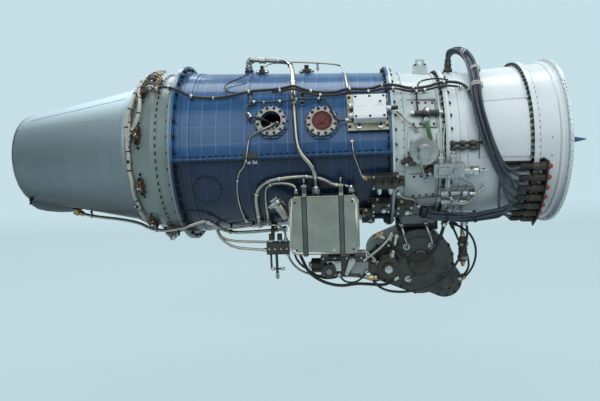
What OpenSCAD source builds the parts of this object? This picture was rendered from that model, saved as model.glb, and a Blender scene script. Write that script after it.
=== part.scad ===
// Twin-spool turbofan engine of a light jet: casings, spools, gearbox, oil tank and dressing.
// The engine axis is X with the intake at +X, Z is up and the dressed near side is at -Y.
// Clock angles are 0 at the top, 90 on the near side and 180 at the bottom.

/* [Outer casings] */
// Skin radius of the intake case at its front
intake_front_r = 275; // [272:1:278]
// Height of the intake flange above the skin
rim_h = 14; // [12:1:16]
// Thickness of the intake flange
rim_t = 10; // [8:1:12]
// Length of the intake case
intake_len = 109; // [104:1:120]
// Skin radius at the joint of intake case and fan case
fan_front_r = 268; // [265:1:271]
// Length of the fan case
fan_len = 272; // [266:1:278]
// Skin radius at the joint of fan case and intermediate case
waist_r = 250; // [248:1:253]
// Length of the intermediate case
mid_len = 180; // [178:1:184]
// Skin radius at the joint of intermediate case and bypass duct
duct_front_r = 265; // [263:1:268]
// Length of the bypass duct
duct_len = 719; // [710:1:730]
// Skin radius at the joint of bypass duct and rear case
duct_rear_r = 292; // [290:1:295]
// Length of the rear case
rear_len = 172; // [165:1:180]
// Length of the rear case's front band
band_len = 75; // [70:1:80]
// Skin radius at the joint of rear case and jet pipe
pipe_front_r = 250; // [246:1:254]
// Length of the jet pipe
pipe_len = 451; // [430:1:480]
// Skin radius at the nozzle
nozzle_r = 161; // [155:1:168]
// Wall of every outer casing
wall = 4; // [3:0.5:5]
// Thickness of one flange of a casing joint
flange_t = 8; // [6:1:9]
// Flange height at the front joint
front_flange_h = 13; // [12:1:15]
// Flange height at the waist joint
waist_flange_h = 16; // [14:1:18]
// Flange height at the mid joint
mid_flange_h = 23; // [20:1:25]
// Flange height at the rear joint
rear_flange_h = 28; // [24:1:30]
// Height of the duct's split flanges
split_h = 17; // [16:1:19]

/* [Fasteners] */
// Shank radius of a casing bolt
bolt_r = 3; // [2.5:0.25:3.5]
// Radial clearance of a bolt in its hole
bolt_gap = 0.3; // [0.2:0.1:0.5]
// Bolts round a casing joint
joint_bolts = 36; // [30:6:42]
// Holes round the intake flange
rim_holes = 84; // [60:6:90]

/* [Fan spool] */
// Radius of the fan hub at the first blades
fan_hub_r = 90; // [86:1:94]
// Running clearance over the blade tips
tip_gap = 1.5; // [1:0.25:2.5]
// Blades in the first fan row
fan_blades = 22; // [18:1:24]
// Length of the spinner ahead of the intake flange
spinner_reach = 155; // [140:1:170]
// Outer radius of the fan shaft
fan_shaft_r = 24; // [22:1:26]
// Wall of the fan shaft
fan_shaft_wall = 8; // [6:1:9]

/* [Core] */
// Drum radius of the core compressor
drum_r = 110; // [107:1:113]
// Casing bore over the compressor blades
core_bore_r = 150; // [147:1:153]
// Length of the compressor case
comp_len = 290; // [286:1:300]
// Compressor stages
comp_stages = 7; // [5:1:7]
// Blades in one compressor row
comp_blades = 30; // [26:2:36]
// Length of the combustor case
burner_len = 200; // [194:1:210]
// Radius of the combustor case
burner_r = 192; // [188:1:196]
// Fuel injectors
injectors = 12; // [10:1:14]
// Length of the turbine case
turbine_len = 190; // [186:1:196]
// Casing bore over the turbine blades
turbine_bore_r = 172; // [169:1:175]
// Outer radius of the core shaft
core_shaft_r = 46; // [45:1:48]
// Bore radius of the core shaft
core_shaft_bore_r = 30; // [28:1:31]
// Length of the tail cone
cone_len = 260; // [230:1:290]
// Clearance of bearing seats and running fits
fit_gap = 0.05; // [0.03:0.01:0.08]

/* [Gearbox] */
// Depth of the gearbox axis below the skin at the waist joint
gearbox_drop = 160; // [155:1:170]
// Half depth of the gearbox case
gearbox_half = 105; // [100:1:112]
// Outer radius of the gearbox around its drive gear
gearbox_r = 112; // [108:1:116]
// Wall of the gearbox case
gearbox_wall = 8; // [7:1:10]
// Module of the bevel gears
bevel_m = 4.5; // [4.4:0.05:4.6]
// Module of the spur gears
spur_m = 4; // [3.9:0.05:4.1]
// Radius of the tower shaft
tower_r = 12; // [10:1:14]

/* [Ports and exciter] */
// Outer radius of a port ring
port_r = 50; // [46:1:54]
// Bore radius of a port ring
port_bore_r = 33; // [30:1:36]
// Height of a port ring
port_h = 12; // [10:1:15]
// Length of the exciter box along the engine
exciter_len = 104; // [98:1:110]
// Width of the exciter box round the engine
exciter_w = 84; // [78:1:88]
// Height of the exciter box
exciter_h = 42; // [36:1:48]

/* [Oil tank] */
// Length of the tank along the engine
tank_len = 216; // [206:1:226]
// Height of the tank
tank_h = 184; // [174:1:192]
// Distance of the tank's front face from the engine's mid plane
tank_face = 345; // [335:1:352]
// Corner radius of the tank
tank_corner = 26; // [18:1:32]
// Width of a tank strap
strap_w = 13; // [10:1:16]

/* [Mounts] */
// Radius of the trunnion pins
trunnion_r = 20; // [18:1:22]
// Free length of the trunnion pins
trunnion_len = 42; // [36:1:50]
// Bore radius of the lifting eye
eye_r = 8; // [7:1:10]

/* [Hidden] */
$fn = 64;
// Gap between curved faces that don't run on each other
seat = 0.3;

// Stations along the engine, from the intake backwards
x_front = -intake_len;
x_waist = x_front - fan_len;
x_mid = x_waist - mid_len;
x_rear = x_mid - duct_len;
x_knee = x_rear - band_len;
x_pipe = x_rear - rear_len;
x_nozzle = x_pipe - pipe_len;
knee_drop = 4;
skin = [[x_nozzle, nozzle_r], [x_pipe, pipe_front_r], [x_knee, duct_rear_r - knee_drop],
    [x_rear, duct_rear_r], [x_mid, duct_front_r], [x_waist, waist_r], [x_front, fan_front_r],
    [0, intake_front_r]];
function skin_r(x) = lookup(x, skin);

// Stations and radii of the core
x_comp = x_mid - comp_len;
x_burn = x_comp - burner_len;
x_turb = x_burn - turbine_len;
frame_len = 60;
x_frame = x_turb - frame_len;
core_wall = 5;
core_flange_t = 6;
core_flange_h = 10;
splitter_r = 155;
hub_r = 112;
stage_pitch = (comp_len - 40) / comp_stages;
turbine_hub_r = 120;

// Gears: teeth, pitch radii, and the bevel pairs' common cone
core_bevel_z = 24;
tower_z = 18;
drive_z = 36;
pump_z = 24;
scavenge_z = 20;
core_bevel_r = bevel_m * core_bevel_z / 2;
tower_bevel_r = bevel_m * tower_z / 2;
drive_r = spur_m * drive_z / 2;
pump_r = spur_m * pump_z / 2;
scavenge_r = spur_m * scavenge_z / 2;
bevel_face = 0.28;
// The tower shaft stands ahead of the core's front bearing
x_tower = x_waist - 74;
z_box = -waist_r - gearbox_drop;
pump_at = [x_tower - drive_r - pump_r, z_box];
scavenge_dir = -40;
scavenge_at = [x_tower, z_box] + (drive_r + scavenge_r) * [cos(scavenge_dir), sin(scavenge_dir)];
spur_w = 20;
spur_y = -75;
shaft_r = 12;

// Bearings: x of the centre, inner and outer radius, ball radius
race_w = 16;
x_fan_bearing = x_waist - 22;
x_core_bearing = x_mid + 30;
x_core_rear_bearing = x_burn + 18;
x_fan_rear_bearing = x_frame + 30;

// Places of the dressing: x, clock angle
open_port = [x_rear + 329, 67];
shut_port = [x_mid - 224, 68];
port_pad_h = 7;
exciter_at = [x_mid - 71, 63];
trunnion_x = x_waist - 80;
trunnion_face = waist_r + 30;
tank_x = x_mid - 226;
tank_z = -222;
tank_back = 215;
neck_at = [tank_x - tank_len / 2 - 12, -tank_face + 45, tank_z + 22];
neck_tilt = -35;
neck_r = 15;
neck_len = 62;
neck_bore_r = neck_r - 3;
panel_x = x_front + 22;
panel_in = 8;
panel_out = 58;
panel_from = 97;
panel_to = 147;
socket_count = 7;
socket_r = 12;
socket_h = 37;
control_size = [158, 92, 72];
pump_block_reach = 76;
control_at = [pump_at[0] - pump_block_reach - control_size[0] / 2, -gearbox_half - 52, z_box + 14];
lever_at = [control_at[0] + 30, control_at[1] - 46, control_at[2] + 20];
lever_shaft_r = 5;

// Routes of pipes and cables on the casing: x, clock angle, height above the skin
breather_route = [[-1052, 2, 10], [-1052, 2, 30], [-1050, 3, 42], [-1040, 6, 48], [-1000, 6, 48],
    [-915, 8, 44],
    [-893, 14, 34], [-884, 24, 22], [-880, 38, 18], [-876, 55, 18], [-872, 69, 18],
    [-868, 82, 20], [-854, 89, 26], [-820, 96, 32], [-812, 101, 36], [-812, 106, 31],
    [-812, 110.5, 29], [-812, 113.8, 36]];
oil_feed_route = [[-697, 113.6, 40], [-698, 111, 34], [-725, 110, 22], [-755, 110, 20], [-776, 107, 18],
    [-810, 104, 18], [-870, 103, 18], [-935, 104, 18], [-978, 106, 18], [-1002, 110, 18],
    [-1013, 116, 18], [-1015, 125, 18], [-1017, 138, 18], [-1019, 143, 20], [-1020, 145, 18],
    [-1020, 145, 5.5]];
oil_return_route = [[-876, 113.8, 34], [-878, 109, 24], [-910, 107.5, 14], [-955, 107.5, 14],
    [-975, 109.5, 14], [-982, 116, 14], [-984, 128, 14], [-986, 138, 14], [-988, 143, 16],
    [-989, 145, 14], [-989, 145, 5.5]];
drain_route = [[x_nozzle + 168.5, 175, 14], [x_nozzle + 185, 174, 17], [x_nozzle + 223, 169, 20],
    [x_nozzle + 283, 160, 20],
    [-1545, 152, 20], [-1460, 147, 28], [-1410, 143.5, 42], [-1360, 140, 42], [-1310, 136.5, 44],
    [-1255, 133.5, 44], [-1215, 133.5, 28], [-1195, 135, 20],
    [-1172, 141, 20], [-1155, 150, 20], [-1130, 158, 20], [-1080, 161, 20], [-1000, 160, 20],
    [-930, 158, 20]];
drain_branch_route = [[-1158, 149, 19], [-1145, 152, 14], [-1120, 152, 12], [-1060, 150, 12],
    [-990, 149.5, 12], [-950, 150, 16], [-934, 152, 34], [-932, 154.5, 69]];
top_line_route = [[-920, 6, 40], [-895, 7, 42], [-730, 9, 34], [-706, 16, 24], [-704, 28, 14],
    [-699, 40, 12], [-694, 46, 14], [-694, 47, 12], [-694, 47, 3]];
port_line_route = [[-932, 67, -8], [-935, 68, 14], [-945, 70.5, 26], [-975, 73, 27], [-1000, 74.5, 22],
    [-1018, 76, 12], [-1026, 80, 8],
    [-1030, 88, 22], [-1040, 95, 22], [-1062, 99, 8], [-1073, 108, 8], [-1076, 120, 8],
    [-1070, 135, 9], [-1064, 141, 12], [-1064, 141, 3]];
valve_line_route = [[-690, 82, 3], [-690, 82, 16], [-688, 88, 22], [-682, 93, 22], [-672, 98, 20],
    [-664, 104, 33], [-648, 105, 33]];
main_cable_route = [[-1345, 40, 14], [-1325, 42, 38], [-1290, 44.5, 42], [-1258, 46, 38],
    [-1235, 47, 20], [-1201, 48, 12], [-1140, 49, 12], [-1086, 47, 12], [-1020, 44, 18],
    [-955, 42.5, 14], [-905, 43.5, 26], [-885, 44.5, 39], [-865, 45, 39], [-845, 45.5, 26],
    [-790, 46, 14], [-734, 46, 16], [-715, 46, 26], [-690, 45, 26], [-629, 43.5, 14], [-582, 43, 31],
    [-545, 43, 31], [-492, 43, 14], [-429, 40, 14], [-400, 39, 26], [-367, 38, 26], [-328, 38, 18],
    [-306, 43, 14], [-297, 55, 12]];
port_lead_route = [[-1015, 53, 16], [-1028, 57, 16], [-1031, 61, 18], [-1018, 64.5, 22],
    [-990, 65.5, 28], [-968, 66.5, 18], [-955, 67, -8], [-951, 67, -37]];
box_lead_route = [[-1015, 53, 16], [-940, 53.5, 12], [-860, 54, 36], [-830, 52, 16], [-795, 51, 14],
    [-769, 53, 24], [-757, 59, 31], [-749, 65, 31], [-733, 69, 28], [-712, 68.5, 26],
    [-686, 68.5, 26]];
case_cable_route = [[-475, 60, 0.6], [-475, 60, 12], [-477, 53, 14], [-473, 46, 27], [-466, 40, 27],
    [-448, 34, 18], [-411, 31, 18],
    [-390, 33, 24], [-365, 36, 26]];
harness_route = [[-342, 6, 18], [-342, 5, 50], [-330, 6, 78], [-295, 9, 76], [-272, 13, 52],
    [-266, 22, 34], [-270, 40, 26], [-276, 60, 24], [-266, 74, 26], [-243, 90, 28],
    [-205, 105, 32]];
lower_route = [[-455, 140, 26], [-420, 146, 30], [-345, 148, 34], [-285, 146, 36],
    [-225, 139, 38], [-195, 136, 38]];
probe_ring_h = 10;
// Leads and drains that hang free of the skin: x, y, z
gear_lead_routes = [[[-345, -95, -268], [-318, -100, -285], [-282, -104, -308], [-262, -104, -345],
    [-256, -102, -385], [-262, -98, -425], [-280, -92, z_box - 52], [-298, -86, z_box - 70],
    [-312.8, -82, z_box - 72]],
    [[-352, -120, -265], [-335, -124, -300], [-322, -122, -335], [-296, -118, -372],
    [-284, -110, -410], [-282, -96, -445], [-298, -70, z_box - 71], [-312.8, -64, z_box - 72]]];
// Seats of pipe ends on the duct: x, clock angle, radius, height
upper_seats = [[-1052, 2, 16, 8], [-694, 47, 9, 1.5], [-690, 82, 9, 1.5]];
lower_seats = [[-1064, 141, 9, 1.5], [-1020, 145, 15, 4], [-989, 145, 12, 4]];
mast_at = [-960, -150, -330];
mast_clock = atan2(-mast_at[1], mast_at[2]);
mast_route = [[-1178, -150, -268], [-1165, -152, -300], [-1120, -154, -332], [-1040, -154, -340],
    [-1000, -152, -344]];
mast_loop_route = [[-930, -150, -354], [-915, -150, -395], [-880, -150, -428], [-820, -146, -446],
    [-740, -138, -450], [-680, -124, -456], [-640, -100, z_box - 64], [-612, -88, z_box - 77],
    [-600, -84, z_box - 74], [-600, -84, z_box - 63.2]];

function outward(a) = [0, -sin(a), cos(a)];
function spot(q) = [q[0], 0, 0] + (skin_r(q[0]) + q[2]) * outward(q[1]);
function cut_corners(p) = [p[0], for (i = [0:len(p) - 2]) each [0.75 * p[i] + 0.25 * p[i + 1],
    0.25 * p[i] + 0.75 * p[i + 1]], p[len(p) - 1]];
function on_skin(route) = [for (q = cut_corners(route)) spot(q)];
function unit(v) = v / norm(v);
function run(p, i) = unit(p[min(i + 1, len(p) - 1)] - p[max(i - 1, 0)]);
function across(u, t) = unit(u - (u * t) * t);
function sides_of(p, u, i) = i == len(p) ? [] :
    let (v = across(u, run(p, i))) concat([v], sides_of(p, v, i + 1));
function tube_points(p, r, n) = let (u = sides_of(p, across([0.31, 0.53, 0.79], run(p, 0)), 0))
    [for (i = [0:len(p) - 1]) for (k = [0:n - 1])
        p[i] + r * (cos(360 * k / n) * u[i] + sin(360 * k / n) * cross(run(p, i), u[i]))];
function tube_faces(m, n) = concat([[for (k = [0:n - 1]) k]],
    [for (i = [0:m - 2]) for (k = [0:n - 1]) let (j = (k + 1) % n)
        each [[i * n + k, i * n + n + j, i * n + j], [i * n + k, i * n + n + k, i * n + n + j]]],
    [[for (k = [n - 1:-1:0]) (m - 1) * n + k]]);

// Solid of revolution about the engine axis from [x, radius] points
module turned(p, a = 360) {
    rotate([0, 90, 0]) rotate_extrude(angle = a, $fn = 128)
        polygon([for (q = p) [q[1], q[0]]]);
}
// Children drawn with Z outwards, set on the engine at x, clock angle a and radius r
module at_clock(x, a, r = 0) {
    translate([x, 0, 0]) rotate([a, 0, 0]) translate([0, 0, r]) children();
}
module ring_of(n, first = 0) {
    for (i = [0:n - 1]) rotate([first + i * 360 / n, 0, 0]) children();
}
// Cylinder along the engine axis from x backwards
module along(x, r, h) {
    translate([x - h, 0, 0]) rotate([0, 90, 0]) cylinder(r = r, h = h);
}
module tube(p, d, n = 8) {
    polyhedron(tube_points(p, d / 2, n), tube_faces(len(p), n), convexity = 4);
}
// Hexagonal union nut on the end of a pipe, pointing from one point to the next
module nut(from, to, d) {
    v = to - from;
    translate(from) rotate([0, acos(v[2] / norm(v)), atan2(v[1], v[0])])
        translate([0, 0, -1]) cylinder(r = 0.95 * d, h = 1.3 * d, $fn = 6);
}
// Block clamp that holds a pipe of diameter d at height h above the skin
module clamp(x, a, h, d, w = 9) {
    at_clock(x, a, skin_r(x) + seat) translate([-w / 2, -w / 2, 0]) cube([w, w, h - seat]);
    at_clock(x, a, skin_r(x) + h) rotate([0, 0, 45]) cube([1.5 * d, 1.5 * d, 1.3 * d], center = true);
}
// Radial blades as one star-shaped outline: n blades of thickness t from r0 to r1
function star(n, r0, r1, t) = [for (i = [0:n - 1]) for (q = [[r0, -1], [r1, -1], [r1, 1], [r0, 1]])
    let (a = 360 * i / n + q[1] * asin(t / 2 / q[0])) q[0] * [cos(a), sin(a)]];
// Slots between fixed vanes as one outline: n slots from r0 to r1, each a share of the pitch
function slots(n, r0, r1, share) = [for (i = [0:n - 1]) for (q = [[r0, -1], [r1, -1], [r1, 1], [r0, 1]])
    let (a = 360 / n * (i + q[1] * share / 2)) q[0] * [cos(a), sin(a)]];
// Gear outline with straight-sided teeth and backlash
function gear_outline(z, m) = let (p = 360 / z, r = m * z / 2)
    [for (i = [0:z - 1]) for (q = [[r - 1.05 * m, -0.31], [r + 0.8 * m, -0.11],
        [r + 0.8 * m, 0.11], [r - 1.05 * m, 0.31]]) q[0] * [cos(p * (i + q[1])), sin(p * (i + q[1]))]];
// Curved aerofoil outline along X: chord c, thickness t, camber m
function foil(c, t, m) = concat(
    [for (i = [0:3]) let (s = i / 3) [c * (s - 0.5), 4 * m * s * (1 - s) + t * sqrt(s) * (1 - s) + 0.3]],
    [for (i = [3:-1:0]) let (s = i / 3) [c * (s - 0.5),
        4 * m * s * (1 - s) - t * sqrt(s) * (1 - s) - 0.3]]);
module foil_ring(n, x, turn, c, t, m, r) {
    ring_of(n) at_clock(x, 0) rotate([0, 0, turn]) linear_extrude(r) polygon(foil(c, t, m));
}
// Streamlined strut section from two arcs, length l along X and thickness t
module lens(l, t) {
    r = (l * l / 4 + t * t / 4) / t;
    intersection() {
        translate([0, r - t / 2]) circle(r, $fn = 96);
        translate([0, t / 2 - r]) circle(r, $fn = 96);
    }
}
module bolt_row(x, r, n, h, first = 0) {
    ring_of(n, first) at_clock(x, 0, r) rotate([0, 90, 0]) cylinder(r = bolt_r + bolt_gap, h = h, $fn = 24);
}
// Bolt and nut through a joint whose two flanges meet at x
module joint_bolt(x, r, grip) {
    at_clock(x - grip / 2, 0, r) rotate([0, 90, 0]) {
        cylinder(r = bolt_r, h = grip, $fn = 24);
        translate([0, 0, grip]) cylinder(r = 1.8 * bolt_r, h = 1.4 * bolt_r, $fn = 24);
        translate([0, 0, -1.6 * bolt_r]) cylinder(r = 2 * bolt_r, h = 1.6 * bolt_r, $fn = 6);
    }
}
function bolt_circle(x, h) = skin_r(x) + h / 2 + 1;
half_step = 180 / joint_bolts;

module intake_case() color("gainsboro") {
    difference() {
        turned([[0, intake_front_r - wall], [0, intake_front_r + rim_h],
            [-rim_t, intake_front_r + rim_h], [-rim_t, skin_r(-rim_t)],
            [x_front + flange_t, skin_r(x_front + flange_t)],
            [x_front + flange_t, fan_front_r + front_flange_h], [x_front, fan_front_r + front_flange_h],
            [x_front, fan_front_r - wall]]);
        bolt_row(-rim_t - 1, intake_front_r + rim_h / 2 + 1, rim_holes, rim_t + 2);
        bolt_row(x_front - 1, bolt_circle(x_front, front_flange_h), joint_bolts, flange_t + 2, half_step);
    }
}

module fan_case() color("white") {
    difference() {
        union() {
            turned([[x_front, fan_front_r - wall], [x_front, fan_front_r + front_flange_h],
                [x_front - flange_t, fan_front_r + front_flange_h],
                [x_front - flange_t, skin_r(x_front - flange_t)],
                [x_waist + flange_t, skin_r(x_waist + flange_t)],
                [x_waist + flange_t, waist_r + waist_flange_h], [x_waist, waist_r + waist_flange_h],
                [x_waist, waist_r - wall]]);
            for (x = [x_waist + 46, x_waist + 71]) turned([[x, skin_r(x) - 1], [x, skin_r(x) + 4],
                [x - 6, skin_r(x) + 4], [x - 6, skin_r(x) - 1]]);
        }
        bolt_row(x_front - flange_t - 1, bolt_circle(x_front, front_flange_h), joint_bolts, flange_t + 2,
            half_step);
        bolt_row(x_waist - 1, bolt_circle(x_waist, waist_flange_h), joint_bolts, flange_t + 2, half_step);
    }
}

// Gas path of the fan: outer wall follows the skin, less the wall and a gap
function fan_wall(x, gap) = skin_r(x) - wall - gap;
x_fan_1 = x_front - 80;
x_stator_1 = x_front - 150;
x_fan_2 = x_front - 216;
fan_hub_rear_r = fan_hub_r + 20;
function fan_hub(x) = fan_hub_r + (fan_hub_rear_r - fan_hub_r) * (x_front - 30 - x) / (fan_len - 45);

module fan_stator() color("lightsteelblue") {
    intersection() {
        foil_ring(28, x_stator_1, 20, 42, 3, 3, 300);
        turned([[x_stator_1 + 30, fan_hub(x_stator_1) + 6],
            [x_stator_1 + 30, fan_wall(x_stator_1 + 30, seat)],
            [x_stator_1 - 30, fan_wall(x_stator_1 - 30, seat)],
                [x_stator_1 - 30, fan_hub(x_stator_1) + 6]]);
    }
    turned([[x_stator_1 + 22, fan_hub(x_stator_1) + 4], [x_stator_1 + 22, fan_hub(x_stator_1) + 7],
        [x_stator_1 - 22, fan_hub(x_stator_1) + 7], [x_stator_1 - 22, fan_hub(x_stator_1) + 4]]);
}

module intermediate_case() color("white") {
    difference() {
        union() {
            difference() {
                union() {
                    turned([[x_waist, waist_r - 20], [x_waist, waist_r + waist_flange_h],
                        [x_waist - flange_t, waist_r + waist_flange_h],
                        [x_waist - flange_t, skin_r(x_waist - flange_t)],
                        [x_mid + flange_t, skin_r(x_mid + flange_t)],
                        [x_mid + flange_t, duct_front_r + mid_flange_h],
                            [x_mid, duct_front_r + mid_flange_h],
                        [x_mid, duct_front_r - 20]]);
                    for (x = [x_waist - 20, x_mid + 48]) turned([[x, skin_r(x) - 1], [x, skin_r(x) + 5],
                        [x - 6, skin_r(x) + 5], [x - 6, skin_r(x) - 1]]);
                    for (a = [90, 270]) at_clock(trunnion_x, a, waist_r - 15)
                        cylinder(r = 46, h = trunnion_face - waist_r + 15);
                    at_clock(x_waist - 56, 0, waist_r - 10) translate([-24, -22, 0]) cube([48, 44, 42]);
                    at_clock(x_waist - 56, 0, waist_r + 30) translate([-16, -7, 0]) cube([32, 14, 26]);
                    at_clock(x_tower, 180, waist_r - 15) translate([-62, -62, 0]) cube([120, 124, 45]);
                }
                turned([[x_waist + 1, 0], [x_waist + 1, waist_r - wall], [x_mid - 1, duct_front_r - wall],
                    [x_mid - 1, 0]]);
            }
            turned([[x_waist - 4, splitter_r + 4], [x_waist - 24, splitter_r + 8], [x_mid, splitter_r + 8],
                [x_mid, splitter_r], [x_waist - 24, splitter_r]]);
            turned([[x_mid + core_flange_t, splitter_r + 4],
                [x_mid + core_flange_t, splitter_r + 8 + core_flange_h],
                [x_mid, splitter_r + 8 + core_flange_h], [x_mid, splitter_r + 4]]);
            turned([[x_waist - 8, 40], [x_waist - 8, hub_r], [x_mid, hub_r], [x_mid, 60]]);
            for (a = [0, 45, 90, 135, 225, 270, 315]) at_clock(x_tower - 10, a, hub_r - 6)
                linear_extrude(waist_r - hub_r + 8) lens(112, 13);
            at_clock(x_tower, 180, hub_r - 6) linear_extrude(waist_r - hub_r + 8) lens(120, 58);
        }
        // Gear chamber, bearing seats and shaft passages in the hub
        along(x_tower + 46, 72, 96);
        along(x_fan_bearing + race_w / 2, 45 + fit_gap, race_w);
        along(x_waist, 42, 60);
        along(x_core_bearing + race_w / 2, 70 + fit_gap, race_w);
        along(x_mid + 60, 64, 70);
        at_clock(x_tower, 180, 60) cylinder(r = tower_r + 9, h = waist_r);
        for (a = [90, 270]) at_clock(trunnion_x, a, waist_r - 25)
            cylinder(r = trunnion_r + fit_gap, h = 80);
        at_clock(x_waist - 56, 0, waist_r + 44) rotate([90, 0, 0])
            cylinder(r = eye_r, h = 40, center = true);
        bolt_row(x_waist - flange_t - 1, bolt_circle(x_waist, waist_flange_h), joint_bolts, flange_t + 2,
            half_step);
        bolt_row(x_mid - 1, bolt_circle(x_mid, mid_flange_h), joint_bolts, flange_t + 2, half_step);
    }
}
// Height of the gearbox pad's face below the axis
pad_z = -(waist_r + 30);

// One half of the bypass duct, drawn as the upper one
module duct_half() {
    rotate([90, 0, 0]) turned([[x_mid, 0], [x_mid, duct_front_r + mid_flange_h],
        [x_mid - flange_t, duct_front_r + mid_flange_h], [x_mid - flange_t, skin_r(x_mid - flange_t)],
        [x_rear + flange_t, skin_r(x_rear + flange_t)], [x_rear + flange_t, duct_rear_r + rear_flange_h],
        [x_rear, duct_rear_r + rear_flange_h], [x_rear, 0]], 180);
    for (x = duct_ribs) rotate([90, 0, 0]) turned([[x + 5, 0], [x + 5, skin_r(x) + 4],
        [x - 5, skin_r(x) + 4], [x - 5, 0]], 180);
    rotate([90, 0, 0]) turned([[x_rear + 57, 0], [x_rear + 57, skin_r(x_rear + 57) + 2.5],
        [x_rear + 30, skin_r(x_rear + 30) + 2.5], [x_rear + 30, 0]], 180);
    for (s = [0, 1]) mirror([0, s, 0]) linear_extrude(6) polygon([[x_mid - flange_t, -duct_front_r + 20],
        [x_mid - flange_t, -duct_front_r - split_h], [x_rear + flange_t, -duct_rear_r - split_h],
        [x_rear + flange_t, -duct_rear_r + 20]]);
}
duct_ribs = [x_mid - 149, x_mid - 289, x_mid - 475];
split_bolts = 11;
function split_x(i) = x_mid - 42 - i * (duct_len - 84) / (split_bolts - 1);
module duct_cuts() {
    turned([[x_mid + 1, 0], [x_mid + 1, duct_front_r - wall], [x_rear - 1, duct_rear_r - wall],
        [x_rear - 1, 0]]);
    bolt_row(x_mid - flange_t - 1, bolt_circle(x_mid, mid_flange_h), joint_bolts, flange_t + 2, half_step);
    bolt_row(x_rear - 1, bolt_circle(x_rear, rear_flange_h), joint_bolts, flange_t + 2, half_step);
    for (s = [-1, 1]) for (i = [0:split_bolts - 1])
        translate([split_x(i), s * (skin_r(split_x(i)) + split_h / 2 + 1.5), -20])
            cylinder(r = bolt_r + bolt_gap, h = 40, $fn = 24);
}
function port_z(p) = skin_r(p[0]) + port_pad_h;
module pipe_seat(s) {
    at_clock(s[0], s[1], skin_r(s[0]) - 8) cylinder(r = s[2], h = 8 + s[3]);
}

module bypass_duct_upper() color("royalblue") {
    difference() {
        union() {
            duct_half();
            for (p = [open_port, shut_port]) at_clock(p[0], p[1], skin_r(p[0]) - 14)
                rotate([0, 0, 22.5]) cylinder(r = port_r + 9, h = 14 + port_pad_h, $fn = 8);
            for (s = upper_seats) pipe_seat(s);
        }
        duct_cuts();
        for (p = [open_port, shut_port]) at_clock(p[0], p[1], skin_r(p[0]) - 20)
            cylinder(r = port_bore_r, h = 40);
    }
}

module bypass_duct_lower() color("midnightblue") {
    difference() {
        union() {
            mirror([0, 0, 1]) duct_half();
            at_clock(x_rear + 105, 111, skin_r(x_rear + 105) - 14) cylinder(r = 50, h = 16.5);
            for (s = lower_seats) pipe_seat(s);
        }
        duct_cuts();
    }
}

probes = 10;
probe_r = 5.5;
// Places on the rear case's cone, with Z along the skin's normal
probe_x = x_knee - 42;
probe_pad_h = 4;
rear_slope = atan((duct_rear_r - knee_drop - pipe_front_r) / (x_knee - x_pipe));
module on_rear(a) {
    at_clock(probe_x, a, skin_r(probe_x)) rotate([0, -rear_slope, 0]) children();
}
module rear_case() color("silver") {
    difference() {
        union() {
            turned([[x_rear, 0], [x_rear, duct_rear_r + rear_flange_h],
                [x_rear - flange_t, duct_rear_r + rear_flange_h],
                    [x_rear - flange_t, skin_r(x_rear - flange_t)],
                [x_knee + 26, skin_r(x_knee + 26)], [x_knee + 24, skin_r(x_knee) + 4],
                [x_knee + 12, skin_r(x_knee) + 4], [x_knee + 10, skin_r(x_knee)],
                [x_knee, skin_r(x_knee)], [x_pipe + 12, skin_r(x_pipe + 12)],
                [x_pipe + 12, pipe_front_r + 7], [x_pipe, pipe_front_r + 7], [x_pipe, 0]]);
            for (k = [0:probes - 1]) for (s = [-4.5, 4.5]) on_rear(360 * k / probes + s)
                translate([0, 0, -12]) cylinder(r = 20, h = 12 + probe_pad_h);
        }
        turned([[x_rear + 1, 0], [x_rear + 1, duct_rear_r - wall], [x_knee, skin_r(x_knee) - wall],
            [x_pipe, pipe_front_r - wall], [x_pipe - 1, pipe_front_r - wall], [x_pipe - 1, 0]]);
        bolt_row(x_rear - flange_t - 1, bolt_circle(x_rear, rear_flange_h), joint_bolts, flange_t + 2,
            half_step);
        for (k = [0:probes - 1]) on_rear(360 * k / probes) translate([0, 0, -40])
            cylinder(r = probe_r + 1, h = 80);
    }
}

module jet_pipe() color("darkgray") {
    difference() {
        union() {
            turned([[x_pipe, 0], [x_pipe, pipe_front_r + 7], [x_pipe - 10, pipe_front_r + 7],
                [x_pipe - 10, skin_r(x_pipe - 10)], [x_nozzle, nozzle_r], [x_nozzle, 0]]);
            translate([0, 0, 21 - nozzle_r]) turned([[x_nozzle - 20, 0], [x_nozzle - 20, 44],
                [x_nozzle, 56],
                [x_nozzle + 35, 64], [x_nozzle + 85, 69], [x_nozzle + 125, 69], [x_nozzle + 147, 64],
                [x_nozzle + 147, 0]]);
        }
        turned([[x_pipe + 1, 0], [x_pipe + 1, pipe_front_r - wall], [x_nozzle, nozzle_r - wall],
            [x_nozzle - 40, nozzle_r - wall - 4], [x_nozzle - 40, 0]]);
    }
}

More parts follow.
